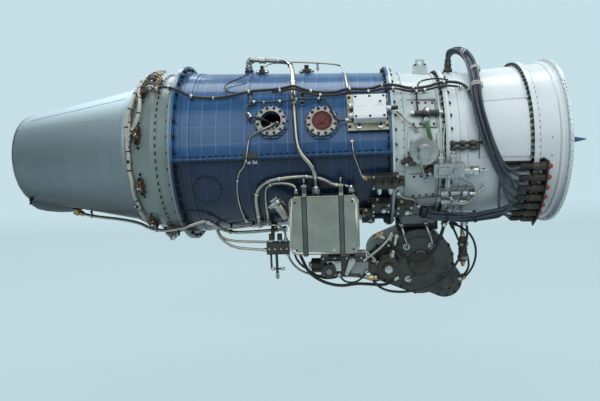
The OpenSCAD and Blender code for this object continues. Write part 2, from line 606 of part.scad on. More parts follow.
// Lobed sleeve that mixes core and bypass flow
mixer_lobes = 12;
mixer_around = 72;
mixer_rings = 4;
mixer_depth = 95;
function mixer_point(i, k, t) = let (s = i / (mixer_rings - 1), a = 360 * k / mixer_around,
    r = mixer_r + t - 8 * s + 24 * s * cos(mixer_lobes * a))
    [x_frame - 1 - s * mixer_depth, r * cos(a), r * sin(a)];
module exhaust_mixer() color("rosybrown") {
    n = mixer_around;
    loops = 2 * mixer_rings;
    pts = concat([for (i = [0:mixer_rings - 1]) for (k = [0:n - 1]) mixer_point(i, k, 2)],
        [for (i = [mixer_rings - 1:-1:0]) for (k = [0:n - 1]) mixer_point(i, k, 0)]);
    polyhedron(pts, [for (i = [0:loops - 1]) for (k = [0:n - 1])
        let (j = (k + 1) % n, m = i * n, e = ((i + 1) % loops) * n)
            each i < mixer_rings ? [[m + k, m + j, e + j], [m + k, e + j, e + k]]
                : [[m + k, m + j, e + k], [m + j, e + j, e + k]]], convexity = 8);
    turned([[x_frame, mixer_r - 4], [x_frame, mixer_r + core_flange_h],
        [x_frame - 5, mixer_r + core_flange_h], [x_frame - 5, mixer_r - 4]]);
}
mixer_r = turbine_bore_r + 8;

module tail_cone() color("dimgray") {
    turned([[x_frame, 0], [x_frame, 88], [x_frame - 60, 84], [x_frame - 130, 68], [x_frame - 200, 40],
        [x_frame - cone_len + 12, 12], [x_frame - cone_len, 0]]);
}

module compressor_case() color("lightgray") {
    outer = core_bore_r + core_wall;
    turned([[x_mid, core_bore_r], [x_mid, splitter_r + 8 + core_flange_h],
        [x_mid - core_flange_t, splitter_r + 8 + core_flange_h], [x_mid - core_flange_t, outer],
        [x_comp + core_flange_t, outer], [x_comp + core_flange_t, burner_r + core_flange_h],
        [x_comp, burner_r + core_flange_h], [x_comp, core_bore_r]]);
    for (i = [0:comp_stages - 1]) translate([x_mid - 38 - (i + 0.5) * stage_pitch, 0, 0])
        rotate([0, 90, 0]) linear_extrude(12) difference() {
            circle(core_bore_r + 1, $fn = 128);
            polygon(slots(comp_blades, drum_r + 3, core_bore_r - 1, 0.84));
        }
}

module combustor_case() color("lightsteelblue") {
    tube_r = 90;
    difference() {
        union() {
            turned([[x_comp, burner_r - core_wall], [x_comp, burner_r + core_flange_h],
                [x_comp - core_flange_t, burner_r + core_flange_h], [x_comp - core_flange_t, burner_r],
                [x_burn + core_flange_t, burner_r], [x_burn + core_flange_t, burner_r + core_flange_h],
                [x_burn, burner_r + core_flange_h], [x_burn, burner_r - core_wall]]);
            turned([[x_comp - 2, tube_r - 4], [x_comp - 2, tube_r], [x_burn + 4, tube_r], [x_burn + 4, 60],
                [x_burn + 30, 60], [x_burn + 30, tube_r - 4]]);
            ring_of(6) at_clock(x_comp - 10, 0, tube_r - 2) linear_extrude(burner_r - tube_r) lens(14, 4);
        }
        along(x_core_rear_bearing + race_w / 2, 70 + fit_gap, race_w);
        at_clock(open_port[0], open_port[1], 150) cylinder(r = igniter_r + seat, h = 60);
    }
}
igniter_r = 7;

liner_out_r = 166;
liner_in_r = 112;
x_dome = x_comp - 38;
module combustor_liner() color("peru") {
    difference() {
        turned([[x_dome, 132], [x_dome, 146], [x_dome - 14, liner_out_r], [x_burn + 1, liner_out_r],
            [x_burn + 1, liner_out_r - 2], [x_dome - 15, liner_out_r - 2], [x_dome - 3, 147],
                [x_dome - 3, 131],
            [x_dome - 15, liner_in_r + 2], [x_burn + 1, liner_in_r + 2], [x_burn + 1, liner_in_r],
            [x_dome - 14, liner_in_r]]);
        ring_of(injectors) at_clock(x_dome - 5, 0, 139) rotate([0, 90, 0])
            cylinder(r = injector_r + seat, h = 12, $fn = 32);
        for (row = [50, 95]) ring_of(injectors, 180 / injectors) at_clock(x_dome - row, 0, 100)
            cylinder(r = 6, h = 80, $fn = 32);
        at_clock(open_port[0], open_port[1], 140) cylinder(r = igniter_r + seat, h = 40);
    }
}

injector_r = 5.5;
module fuel_manifold() color("goldenrod") {
    turned([[x_dome + 14, 176], [x_dome + 14, 183], [x_dome + 7, 183], [x_dome + 7, 176]]);
    ring_of(injectors) {
        at_clock(x_dome + 10, 0, 139) cylinder(r = 3, h = 40, $fn = 24);
        at_clock(x_dome - 10, 0, 139) rotate([0, 90, 0]) cylinder(r = injector_r, h = 26, $fn = 32);
    }
}

nozzle_vanes = 36;
x_nozzle_1 = x_burn - 22;
x_core_turbine = x_nozzle_1 - 26;
x_nozzle_2 = x_core_turbine - 26;
x_fan_turbine_1 = x_nozzle_2 - 26;
x_nozzle_3 = x_fan_turbine_1 - 24;
x_fan_turbine_2 = x_nozzle_3 - 26;
module turbine_case() color("tan") {
    outer = turbine_bore_r + core_wall;
    turned([[x_burn, turbine_bore_r], [x_burn, burner_r + core_flange_h],
        [x_burn - core_flange_t, burner_r + core_flange_h], [x_burn - core_flange_t, outer],
        [x_turb + core_flange_t, outer], [x_turb + core_flange_t, outer + core_flange_h],
        [x_turb, outer + core_flange_h], [x_turb, turbine_bore_r]]);
    for (x = [x_nozzle_1, x_nozzle_2, x_nozzle_3]) translate([x, 0, 0]) rotate([0, 90, 0])
        linear_extrude(15) difference() {
            circle(turbine_bore_r + 1, $fn = 128);
            polygon(slots(nozzle_vanes, turbine_hub_r + 3, turbine_bore_r - 1, 0.8));
        }
}

module exhaust_frame() color("rosybrown") {
    outer = turbine_bore_r + core_wall;
    difference() {
        union() {
            turned([[x_turb, turbine_bore_r], [x_turb, outer + core_flange_h],
                [x_turb - core_flange_t, outer + core_flange_h], [x_turb - core_flange_t, outer],
                [x_frame + core_flange_t, outer], [x_frame + core_flange_t, mixer_r + core_flange_h],
                [x_frame, mixer_r + core_flange_h], [x_frame, turbine_bore_r]]);
            turned([[x_turb - 8, 78], [x_turb - 8, 88], [x_frame, 88], [x_frame, 78]]);
            turned([[x_fan_rear_bearing + 10, 45], [x_fan_rear_bearing + 10, 80],
                [x_fan_rear_bearing - 10, 80], [x_fan_rear_bearing - 10, 45]]);
            ring_of(8) at_clock(x_turb - frame_len / 2 - 2, 0, 84)
                linear_extrude(turbine_bore_r - 80) lens(46, 9);
        }
        along(x_fan_rear_bearing + race_w / 2, 45 + fit_gap, race_w);
        along(x_fan_rear_bearing + 20, 42, 40);
    }
}

// Fixed races and balls of one bearing: bore radius of the inner race's seat and outer radius
module fixed_race(x, inner, outer) {
    ball = (outer - inner) / 4;
    mid_r = (outer + inner) / 2;
    difference() {
        turned([[x + race_w / 2, mid_r + ball * 0.4], [x + race_w / 2, outer], [x - race_w / 2, outer],
            [x - race_w / 2, mid_r + ball * 0.4]]);
        translate([x, 0, 0]) rotate([0, 90, 0]) rotate_extrude($fn = 96) translate([mid_r, 0])
            circle(ball + fit_gap, $fn = 32);
    }
    ring_of(12) at_clock(x, 0, mid_r) sphere(ball - fit_gap, $fn = 32);
}
module turning_race(x, inner, outer) {
    ball = (outer - inner) / 4;
    mid_r = (outer + inner) / 2;
    difference() {
        turned([[x + race_w / 2, inner], [x + race_w / 2, mid_r - ball * 0.4],
            [x - race_w / 2, mid_r - ball * 0.4],
            [x - race_w / 2, inner]]);
        translate([x, 0, 0]) rotate([0, 90, 0]) rotate_extrude($fn = 96) translate([mid_r, 0])
            circle(ball + fit_gap, $fn = 32);
    }
}
module bearings() color("silver") {
    fixed_race(x_fan_bearing, fan_shaft_r, 45);
    fixed_race(x_core_bearing, core_shaft_r, 70);
    fixed_race(x_core_rear_bearing, core_shaft_r, 70);
    fixed_race(x_fan_rear_bearing, fan_shaft_r, 45);
}

module flange_bolts() color("darkslategray") {
    ring_of(joint_bolts, half_step) {
        joint_bolt(x_front, bolt_circle(x_front, front_flange_h), 2 * flange_t);
        joint_bolt(x_waist, bolt_circle(x_waist, waist_flange_h), 2 * flange_t);
        joint_bolt(x_mid, bolt_circle(x_mid, mid_flange_h), 2 * flange_t);
        joint_bolt(x_rear, bolt_circle(x_rear, rear_flange_h), 2 * flange_t);
    }
    for (s = [-1, 1]) for (i = [0:split_bolts - 1])
        translate([split_x(i), s * (skin_r(split_x(i)) + split_h / 2 + 1.5), -6]) {
            cylinder(r = bolt_r, h = 12, $fn = 24);
            translate([0, 0, 12]) cylinder(r = 2 * bolt_r, h = 1.4 * bolt_r, $fn = 6);
            translate([0, 0, -1.6 * bolt_r]) cylinder(r = 2 * bolt_r, h = 1.6 * bolt_r, $fn = 6);
        }
}

module port_rings() color("silver") {
    for (p = [open_port, shut_port]) at_clock(p[0], p[1], port_z(p)) difference() {
        cylinder(r = port_r, h = port_h);
        translate([0, 0, -1]) cylinder(r = port_bore_r, h = port_h + 2);
        for (k = [0:11]) rotate([0, 0, 30 * k]) translate([port_r + 2, 0, port_h - 5])
            cylinder(r = 5, h = 10, $fn = 24);
    }
}

module port_blank() color("firebrick") {
    at_clock(shut_port[0], shut_port[1], port_z(shut_port)) difference() {
        union() {
            cylinder(r = port_bore_r - seat, h = port_h - 4);
            translate([0, 0, port_h - 4]) cylinder(r = 9, h = 5);
        }
        translate([0, 0, port_h - 1]) cylinder(r = 3, h = 3, $fn = 6);
    }
}

module igniter() color("silver") {
    at_clock(open_port[0], open_port[1], 158) {
        cylinder(r = igniter_r, h = 52);
        translate([0, 0, burner_r - 158 + seat]) cylinder(r = 15, h = 8, $fn = 6);
        translate([0, 0, 52]) cylinder(r = 10, h = 22);
    }
}

exciter_z = 22;
module exciter_box() color("lightgray") {
    at_clock(exciter_at[0], exciter_at[1], skin_r(exciter_at[0]) + exciter_z) {
        translate([-exciter_len / 2, -exciter_w / 2, 0]) difference() {
            cube([exciter_len, exciter_w, exciter_h]);
            translate([8, 8, exciter_h - 2]) cube([exciter_len - 16, 26, 3]);
        }
        for (x = [-34, 34]) translate([x, -exciter_w / 2 - 10, 0]) difference() {
            translate([-9, 0, 0]) cube([18, 10, 8]);
            translate([0, 4.5, -1]) cylinder(r = 2.8, h = 10, $fn = 24);
        }
        for (y = [-20, 14]) translate([-exciter_len / 2 - 14, y, exciter_h / 2 - 2]) rotate([0, 90, 0])
            cylinder(r = 9, h = 14);
        translate([exciter_len / 2, 0, exciter_h / 2]) rotate([0, 90, 0]) cylinder(r = 8, h = 16);
    }
}

module exciter_bracket() color("darkkhaki") {
    at_clock(exciter_at[0], exciter_at[1], skin_r(exciter_at[0])) {
        translate([-exciter_len / 2 - 20, -exciter_w / 2 - 22, exciter_z - 4])
            cube([exciter_len + 28, exciter_w + 44, 4]);
        for (x = [-exciter_len / 2 - 12, exciter_len / 2]) for (y = [-26, 26])
            translate([x, y, 1.8]) cylinder(r = 6, h = exciter_z - 5.8);
    }
}

module tank_form(grow) {
    l = tank_len + 2 * grow;
    h = tank_h + 2 * grow;
    c = tank_corner + grow;
    rotate([90, 0, 0]) linear_extrude(tank_face - tank_back) {
        translate([-l / 2 + c, -h / 2]) square([l - 2 * c, h]);
        translate([-l / 2, -h / 2 + c]) square([l, h - 2 * c]);
        for (sx = [-1, 1]) for (sy = [-1, 1]) translate([sx * (l / 2 - c), sy * (h / 2 - c)]) circle(c);
    }
}
tank_skin_r = skin_r(tank_x - tank_len / 2) + 12;
module oil_tank() color("silver") {
    difference() {
        union() {
            translate([tank_x, -tank_back, tank_z]) tank_form(0);
            translate([tank_x, -tank_face + 14, tank_z]) rotate([90, 0, 0]) linear_extrude(4) {
                c = tank_corner;
                l = tank_len + 8;
                h = tank_h + 8;
                translate([-l / 2 + c, -h / 2]) square([l - 2 * c, h]);
                translate([-l / 2, -h / 2 + c]) square([l, h - 2 * c]);
                for (sx = [-1, 1]) for (sy = [-1, 1]) translate([sx * (l / 2 - c), sy * (h / 2 - c)])
                    circle(c);
            }
        }
        along(0, tank_skin_r, -x_rear);
    }
    for (x = [-697, -812, -876]) translate([x, -284, tank_z + tank_h / 2]) cylinder(r = 12, h = 2.4);
}

module tank_straps() color("dimgray") {
    for (x = [-62, 56]) translate([tank_x + x, 0, tank_z]) {
        for (z = [-tank_h / 2 - 6.5, tank_h / 2 + 4.5]) difference() {
            translate([-strap_w / 2, -tank_face - 2, z]) cube([strap_w, tank_face - tank_back - 10, 2]);
            translate([-50, 0, -tank_z]) rotate([0, 90, 0]) cylinder(r = tank_skin_r, h = 100);
        }
        translate([-strap_w / 2, -tank_face - 2, -tank_h / 2 - 6.5]) cube([strap_w, 1.7, tank_h + 13]);
        translate([-strap_w / 2 + 1, -tank_face + 26, tank_h / 2 + 6.5]) cube([strap_w - 2, 16, 22]);
    }
}

// The filler cap hinges about an axis along Y at x = -neck_r - 15, z = neck_len of the neck's frame
module at_neck() translate(neck_at) rotate([0, neck_tilt, 0]) children();
module filler_neck() color("silver") {
    difference() {
        at_neck() {
            translate([0, 0, -34]) cylinder(r = neck_r, h = 34 + neck_len);
            translate([0, 0, neck_len - 6]) cylinder(r = neck_r + 7, h = 6);
            translate([-neck_r - 13, -5, neck_len - 6]) cube([12, 10, 6]);
        }
        translate([tank_x, -tank_back, tank_z]) tank_form(seat);
        at_neck() cylinder(r = neck_bore_r, h = neck_len + 10);
    }
}
module filler_cap() color("silver") {
    at_neck() {
        translate([0, 0, neck_len]) cylinder(r = neck_r + 6, h = 7);
        translate([0, 0, neck_len - 4]) cylinder(r = neck_bore_r - 0.8, h = 5);
        translate([-12, -3, neck_len + 7]) cube([24, 6, 9]);
        translate([-neck_r - 15, -4, neck_len]) cube([14, 8, 5]);
    }
}

module gearbox_outline(grow) {
    translate([x_tower, z_box]) circle(gearbox_r + grow);
    translate(pump_at) circle(pump_r + 18 + grow);
    translate(scavenge_at) circle(scavenge_r + 15 + grow);
    hull_band([x_tower, z_box], gearbox_r + grow, pump_at, pump_r + 18 + grow);
    hull_band([x_tower, z_box], gearbox_r - 26 + grow, scavenge_at, scavenge_r + 15 + grow);
}
// Straight-sided web between two circles
module hull_band(a, ra, b, rb) {
    d = norm(b - a);
    t = atan2(b[1] - a[1], b[0] - a[0]);
    e = acos((ra - rb) / d);
    polygon([a + ra * [cos(t + e), sin(t + e)], a + ra * [cos(t - e), sin(t - e)],
        b + rb * [cos(t - e), sin(t - e)], b + rb * [cos(t + e), sin(t + e)]]);
}
module upright(y0, y1) {
    translate([0, y1, 0]) rotate([90, 0, 0]) linear_extrude(y1 - y0) children();
}
module gearbox_case() color("gray") {
    difference() {
        union() {
            upright(-gearbox_half, gearbox_half) gearbox_outline(0);
            upright(-gearbox_half, -gearbox_half + 8) gearbox_outline(6);
            translate([x_tower, 0, z_box]) cylinder(r = 40, h = pad_z - z_box - 8);
            translate([x_tower - 62, -62, pad_z - 12]) cube([120, 124, 12]);
        }
        upright(-gearbox_half - 1, gearbox_half - gearbox_wall) gearbox_outline(-gearbox_wall);
        translate([x_tower, 0, z_box]) cylinder(r = tower_r + 9, h = 200);
        upright(0, gearbox_half + 20) translate([x_tower, z_box]) circle(shaft_r + fit_gap);
        upright(0, gearbox_half + 20) translate(pump_at) circle(shaft_r + fit_gap);
        upright(0, gearbox_half + 20) translate(scavenge_at) circle(shaft_r + fit_gap);
    }
}
module gearbox_cover() color("darkgray") {
    difference() {
        union() {
            upright(-gearbox_half - 8, -gearbox_half) gearbox_outline(6);
            upright(-gearbox_half - 16, -gearbox_half - 8) gearbox_outline(-22);
        }
        for (c = [[x_tower, z_box], pump_at, scavenge_at]) upright(-gearbox_half - 20, -gearbox_half + 1)
            translate(c) circle(shaft_r + fit_gap);
    }
}

module starter_generator() color("dimgray") {
    translate([x_tower, gearbox_half, z_box]) rotate([-90, 0, 0]) {
        difference() {
            cylinder(r = 78, h = 14);
            translate([0, 0, -1]) cylinder(r = shaft_r + 4, h = 14);
        }
        translate([0, 0, 14]) cylinder(r = 66, h = 150);
        translate([0, 0, 164]) cylinder(r = 52, h = 22);
        translate([-28, -92, 60]) cube([56, 40, 70]);
    }
}
pump_face = -gearbox_half - 16;
module fuel_pump() color("slategray") {
    translate([pump_at[0], pump_face, pump_at[1]]) rotate([90, 0, 0]) {
        difference() {
            cylinder(r = 44, h = 12);
            translate([0, 0, -1]) cylinder(r = shaft_r + 4, h = 12);
        }
        translate([0, 0, 12]) cylinder(r = 36, h = 58);
        translate([0, 0, 70]) cylinder(r = 20, h = 16);
    }
    translate([pump_at[0] - pump_block_reach, pump_face - 64, pump_at[1] - 16])
        cube([pump_block_reach - 32, 44, 32]);
}
module fuel_control() color("gray") {
    difference() {
        union() {
            translate(control_at - control_size / 2) cube(control_size);
            translate(control_at + [-50, -46, -10]) rotate([90, 0, 0]) cylinder(r = 24, h = 26);
            translate(control_at + [-34, 0, control_size[2] / 2]) cylinder(r = 20, h = 22);
            translate(control_at + [-79, 0, -6]) rotate([0, -90, 0]) cylinder(r = 26, h = 34);
        }
        translate([lever_at[0], lever_at[1] + 30, lever_at[2]]) rotate([90, 0, 0])
            cylinder(r = lever_shaft_r + fit_gap, h = 60);
    }
}
module throttle_lever() color("silver") {
    translate(lever_at) {
        translate([0, 24, 0]) rotate([90, 0, 0]) cylinder(r = lever_shaft_r, h = 34);
        difference() {
            translate([0, -3, 0]) rotate([90, 0, 0]) linear_extrude(5) {
                circle(11);
                hull_band([0, 0], 11, [-20, -44], 6);
                translate([-20, -44]) circle(6);
            }
            translate([-20, 1, -44]) rotate([90, 0, 0]) cylinder(r = 2.6, h = 20, $fn = 24);
        }
    }
}

module trunnions() color("silver") {
    for (a = [90, 270]) at_clock(trunnion_x, a, trunnion_face) {
        cylinder(r = 44, h = 9);
        translate([0, 0, 9]) cylinder(r = trunnion_r, h = trunnion_len);
        translate([0, 0, -26]) cylinder(r = trunnion_r, h = 26);
        for (k = [0:5]) rotate([0, 0, 60 * k]) translate([34, 0, 9]) cylinder(r = 5, h = 4, $fn = 6);
    }
}

function socket_a(i) = panel_from + 4 + i * (panel_to - panel_from - 8) / (socket_count - 1);
module connector_panel() color("darkslategray") {
    difference() {
        union() {
            rotate([panel_from + 180, 0, 0]) turned([[panel_x + 2, skin_r(panel_x) + panel_in],
                [panel_x + 2, skin_r(panel_x) + panel_out], [panel_x - 2, skin_r(panel_x) + panel_out],
                [panel_x - 2, skin_r(panel_x) + panel_in]], panel_to - panel_from);
            for (i = [0:socket_count - 1]) rotate([socket_a(i), 0, 0])
                translate([panel_x - 42, 0, skin_r(panel_x) + socket_h]) rotate([0, 90, 0])
                    cylinder(r = socket_r, h = 42);
            for (a = [panel_from + 2, (panel_from + panel_to) / 2, panel_to - 2])
                at_clock(panel_x, a, skin_r(panel_x) + seat)
                translate([-2, -7, 0]) cube([4, 14, panel_in + 4]);
        }
        for (i = [0:socket_count - 1]) rotate([socket_a(i), 0, 0])
            translate([panel_x - 60, 0, skin_r(panel_x) + socket_h]) rotate([0, 90, 0])
                cylinder(r = 5, h = 48);
    }
}
module connector_caps() color("crimson") {
    for (i = [0:socket_count - 1]) rotate([socket_a(i), 0, 0])
        translate([panel_x + 2, 0, skin_r(panel_x) + socket_h]) rotate([0, 90, 0]) {
            cylinder(r = socket_r - 2, h = 13);
            translate([0, 0, 13]) cylinder(r = socket_r - 5, h = 5);
        }
}

// A harness strand starts at a connector's back and joins the shared route
module strand(route, da, dh, i) {
    last = [panel_x - 44, socket_a(i), socket_h];
    shifted = [for (q = route) [q[0], q[1] + da, q[2] + dh]];
    tube([for (q = cut_corners(concat(shifted, [[panel_x - 70, socket_a(i), socket_h], last])))
        spot(q)], 9);
}
module upper_harness() color("darkslategray") {
    strand(harness_route, -1.2, 6, 0);
    strand(harness_route, -1.2, -4, 1);
    strand(harness_route, 1.2, 6, 2);
    strand(harness_route, 1.2, -4, 3);
    at_clock(-342, 5.5, skin_r(-342) + 4.8) cylinder(r = 16, h = 15);
}
module lower_harness() color("darkslategray") {
    strand(lower_route, -1.3, 5, 4);
    strand(lower_route, 0, -5, 5);
    strand(lower_route, 1.3, 5, 6);
    clamp(-455, 140, 26, 14);
    for (r = gear_lead_routes) tube(cut_corners(r), 8);
}

module probe_harness() color("ivory") {
    x = x_pipe + 16;
    rotate([0, 90, 0]) translate([0, 0, x]) rotate_extrude($fn = 128)
        translate([skin_r(x) + probe_ring_h, 0]) circle(5, $fn = 32);
    ring_of(probes, 18) at_clock(x, 0, skin_r(x) + 2.4) translate([-5, -4, 0])
        cube([10, 8, probe_ring_h + 3]);
}
module probe_bosses() color("sienna") {
    for (k = [0:probes - 1]) on_rear(360 * k / probes) {
        translate([0, 0, -30]) cylinder(r = probe_r, h = 38);
        translate([0, 0, probe_pad_h + 1.3]) cylinder(r = 13, h = 7, $fn = 6);
        translate([0, 0, probe_pad_h + 8.3]) cylinder(r = 7, h = 9);
    }
}

module main_cable() color("black") {
    tube(on_skin(main_cable_route), 10);
    clamp(-1020, 44, 18, 12);
    clamp(-734, 46, 16, 12);
    clamp(-429, 40, 14, 12);
}
module ignition_leads() color("black") {
    tube(on_skin(port_lead_route), 7);
    tube(on_skin(box_lead_route), 7);
    clamp(-1015, 53, 16, 10);
    clamp(-795, 51, 14, 10);
    tube(on_skin(case_cable_route), 6);
}
module breather_pipe() color("silver") {
    p = on_skin(breather_route);
    tube(p, 15, 10);
    nut(p[0], p[1], 16);
    nut(p[len(p) - 1], p[len(p) - 2], 16);
    clamp(-878, 47, 18, 17);
}
module oil_pipes() color("silver") {
    for (s = [[oil_feed_route, 13, 10], [oil_return_route, 9, 8]]) {
        p = on_skin(s[0]);
        tube(p, s[1], s[2]);
        nut(p[0], p[1], s[1] + 1);
        nut(p[len(p) - 1], p[len(p) - 2], s[1] + 1);
    }
    clamp(-870, 103, 18, 15);
    clamp(-1015, 125, 18, 15);
}
module drain_pipe() color("silver") {
    p = on_skin(drain_route);
    tube(p, 12, 10);
    nut(p[0], p[1], 12);
    nut(p[len(p) - 1], p[len(p) - 2], 14);
    q = on_skin(drain_branch_route);
    tube(q, 8);
    clamp(-1080, 161, 20, 14);
}
module sense_lines() color("silver") {
    for (r = [top_line_route, port_line_route, valve_line_route]) {
        p = on_skin(r);
        tube(p, 6);
        nut(p[0], p[1], 8);
        nut(p[len(p) - 1], p[len(p) - 2], 8);
    }
    clamp(-1076, 120, 8, 8);
}

// Drain manifold under the duct with its mast and the pipes that feed it
module drain_mast() color("dimgray") {
    translate(mast_at) {
        translate([-40, -22, -26]) cube([80, 44, 40]);
        for (x = [-24, 6]) translate([x, 0, 14]) cylinder(r = 9, h = 30);
        translate([-8, 0, -120]) cylinder(r = 5, h = 96);
        translate([-28, 0, -84]) rotate([0, 90, 0]) cylinder(r = 3.5, h = 40);
        translate([-28, 0, -84]) cylinder(r = 4, h = 58);
    }
    pillar_from = skin_r(mast_at[0] - 20) + 0.8;
    at_clock(mast_at[0] - 20, mast_clock, pillar_from)
        cylinder(r = 7, h = norm([mast_at[1], mast_at[2]]) - 23 - pillar_from);
    tube(cut_corners(mast_route), 9);
    tube(cut_corners(mast_loop_route), 8);
}
module valve_block() color("dimgray") {
    base = duct_front_r + mid_flange_h + 1;
    for (x = [x_mid - 56, x_mid - 24]) at_clock(x, 107, skin_r(x) + 1)
        cylinder(r = 6, h = base - skin_r(x));
    at_clock(x_mid - 26, 107, base) {
        translate([-42, -26, 0]) cube([84, 48, 26]);
        for (x = [-28, 0, 28]) translate([x, 0, 26]) cylinder(r = 11, h = 16);
        translate([-42, 10, 12]) rotate([0, -90, 0]) cylinder(r = 9, h = 16);
    }
}
module servo_unit() color("lightsteelblue") {
    base = waist_r + waist_flange_h + 4;
    for (x = [x_waist - 32, x_waist + 32]) at_clock(x, 101, skin_r(x) + 1)
        cylinder(r = 6, h = base - skin_r(x));
    at_clock(x_waist + 2, 101, base) {
        translate([-54, -30, 0]) cube([96, 44, 30]);
        translate([42, -14, 15]) rotate([0, 90, 0]) cylinder(r = 13, h = 42);
        translate([84, -14, 15]) rotate([0, 90, 0]) cylinder(r = 7, h = 26);
        translate([-30, 14, 14]) rotate([-90, 0, 0]) cylinder(r = 10, h = 18);
        translate([8, 14, 14]) rotate([-90, 0, 0]) cylinder(r = 10, h = 24);
    }
}

fan_face = x_front - 30;
module spinner() color("slateblue") {
    turned([[spinner_reach, 0], [spinner_reach - 6, 2.5], [spinner_reach - 60, 14],
        [spinner_reach - 130, 32],
        [spinner_reach - 200, 56], [fan_face, fan_hub_r], [fan_face, 0]]);
}
module fan_rotor() color("silver") {
    x_end = x_waist + 15;
    turned([[fan_face, fan_shaft_r + fit_gap], [fan_face, fan_hub_r],
        [x_stator_1 + 26, fan_hub(x_stator_1 + 26)],
        [x_stator_1 + 24, fan_hub(x_stator_1) - 3], [x_stator_1 - 24, fan_hub(x_stator_1) - 3],
        [x_stator_1 - 26, fan_hub(x_stator_1 - 26)], [x_end, fan_hub_rear_r],
            [x_end, fan_shaft_r + fit_gap]]);
    intersection() {
        union() {
            foil_ring(fan_blades, x_fan_1, -42, 78, 4, 6, 300);
            foil_ring(28, x_fan_2, -38, 56, 3.5, 4, 300);
        }
        turned([[fan_face - 2, fan_hub_r - 8], [fan_face - 2, fan_wall(fan_face - 2, tip_gap)],
            [x_end + 2, fan_wall(x_end + 2, tip_gap)], [x_end + 2, fan_hub_r - 8]]);
    }
}
module fan_shaft() color("silver") {
    difference() {
        along(fan_face, fan_shaft_r, fan_face - x_frame - 4);
        along(fan_face + 1, fan_shaft_r - fan_shaft_wall, fan_face - x_frame + 10);
    }
    turning_race(x_fan_bearing, fan_shaft_r, 45);
    turning_race(x_fan_rear_bearing, fan_shaft_r, 45);
}
module turbine_disc(x, n, bore) {
    difference() {
        union() {
            turned([[x + 17, 0], [x + 17, bore + 12], [x + 9, bore + 16], [x + 9, turbine_hub_r - 14],
                [x + 17, turbine_hub_r - 8], [x + 17, turbine_hub_r - 2], [x - 1, turbine_hub_r - 2],
                [x - 1, turbine_hub_r - 8], [x + 6, turbine_hub_r - 14], [x + 6, bore + 16],
                    [x - 1, bore + 12], [x - 1, 0]]);
            translate([x, 0, 0]) rotate([0, 90, 0]) linear_extrude(15)
                polygon(star(n, turbine_hub_r - 4, turbine_bore_r - tip_gap, 4));
        }
        along(x + 40, bore + fit_gap, 80);
    }
}
module fan_turbine() color("darkgoldenrod") {
    turbine_disc(x_fan_turbine_1, 44, fan_shaft_r);
    turbine_disc(x_fan_turbine_2, 44, fan_shaft_r);
}
module core_turbine() color("darkgoldenrod") turbine_disc(x_core_turbine, 40, core_shaft_r);

module core_compressor() color("lightgray") {
    x0 = x_mid - 16;
    x1 = x_mid - 32 - comp_stages * stage_pitch + 6;
    turned([[x0, core_shaft_r + fit_gap], [x0, drum_r - 20], [x0 - 8, drum_r], [x1, drum_r],
        [x1, core_shaft_r + fit_gap],
        [x1 + 12, core_shaft_r + fit_gap], [x1 + 12, drum_r - 12], [x0 - 14, drum_r - 12],
        [x0 - 14, core_shaft_r + fit_gap]]);
    for (i = [0:comp_stages - 1]) translate([x_mid - 36 - i * stage_pitch, 0, 0]) rotate([0, 90, 0])
        linear_extrude(12) difference() {
            polygon(star(comp_blades, drum_r - 3, core_bore_r - tip_gap, 3));
            circle(drum_r - 6, $fn = 96);
        }
}
module core_shaft() color("silver") {
    difference() {
        union() {
            along(x_tower - tower_bevel_r, core_shaft_r, x_tower - tower_bevel_r - x_core_turbine + 8);
            translate([x_tower - tower_bevel_r, 0, 0]) rotate([0, 90, 0])
                linear_extrude(tower_bevel_r * bevel_face, scale = 1 - bevel_face)
                    polygon(gear_outline(core_bevel_z, bevel_m));
        }
        along(x_tower, core_shaft_bore_r, 800);
    }
    turning_race(x_core_bearing, core_shaft_r, 70);
    turning_race(x_core_rear_bearing, core_shaft_r, 70);
}

module tower_shaft() color("silver") {
    top = -core_bevel_r;
    bottom = z_box + core_bevel_r;
    translate([x_tower, 0, bottom]) cylinder(r = tower_r, h = top - bottom);
    translate([x_tower, 0, top]) linear_extrude(core_bevel_r * bevel_face, scale = 1 - bevel_face)
        rotate(180 + 180 / tower_z) polygon(gear_outline(tower_z, bevel_m));
    translate([x_tower, 0, bottom]) mirror([0, 0, 1])
        linear_extrude(core_bevel_r * bevel_face, scale = 1 - bevel_face)
        rotate(90) polygon(gear_outline(tower_z, bevel_m));
}
module gear_shaft(c, y_end) {
    upright(-gearbox_half - 14, y_end) translate(c) circle(shaft_r);
}
module drive_gear() color("silver") {
    gear_shaft([x_tower, z_box], gearbox_half + 10);
    upright(spur_y, spur_y + spur_w) translate([x_tower, z_box]) polygon(gear_outline(drive_z, spur_m));
    translate([x_tower, tower_bevel_r, z_box]) rotate([90, 0, 0])
        linear_extrude(tower_bevel_r * bevel_face, scale = 1 - bevel_face)
            rotate(90 + 180 / core_bevel_z) polygon(gear_outline(core_bevel_z, bevel_m));
}
module pump_gear() color("silver") {
    gear_shaft(pump_at, gearbox_half - 1);
    upright(spur_y, spur_y + spur_w) translate(pump_at) rotate(180 / pump_z)
        polygon(gear_outline(pump_z, spur_m));
}
module scavenge_gear() color("silver") {
    gear_shaft(scavenge_at, gearbox_half - 1);
    upright(spur_y, spur_y + spur_w) translate(scavenge_at) rotate(scavenge_dir + 180 + 180 / scavenge_z)
        polygon(gear_outline(scavenge_z, spur_m));
}

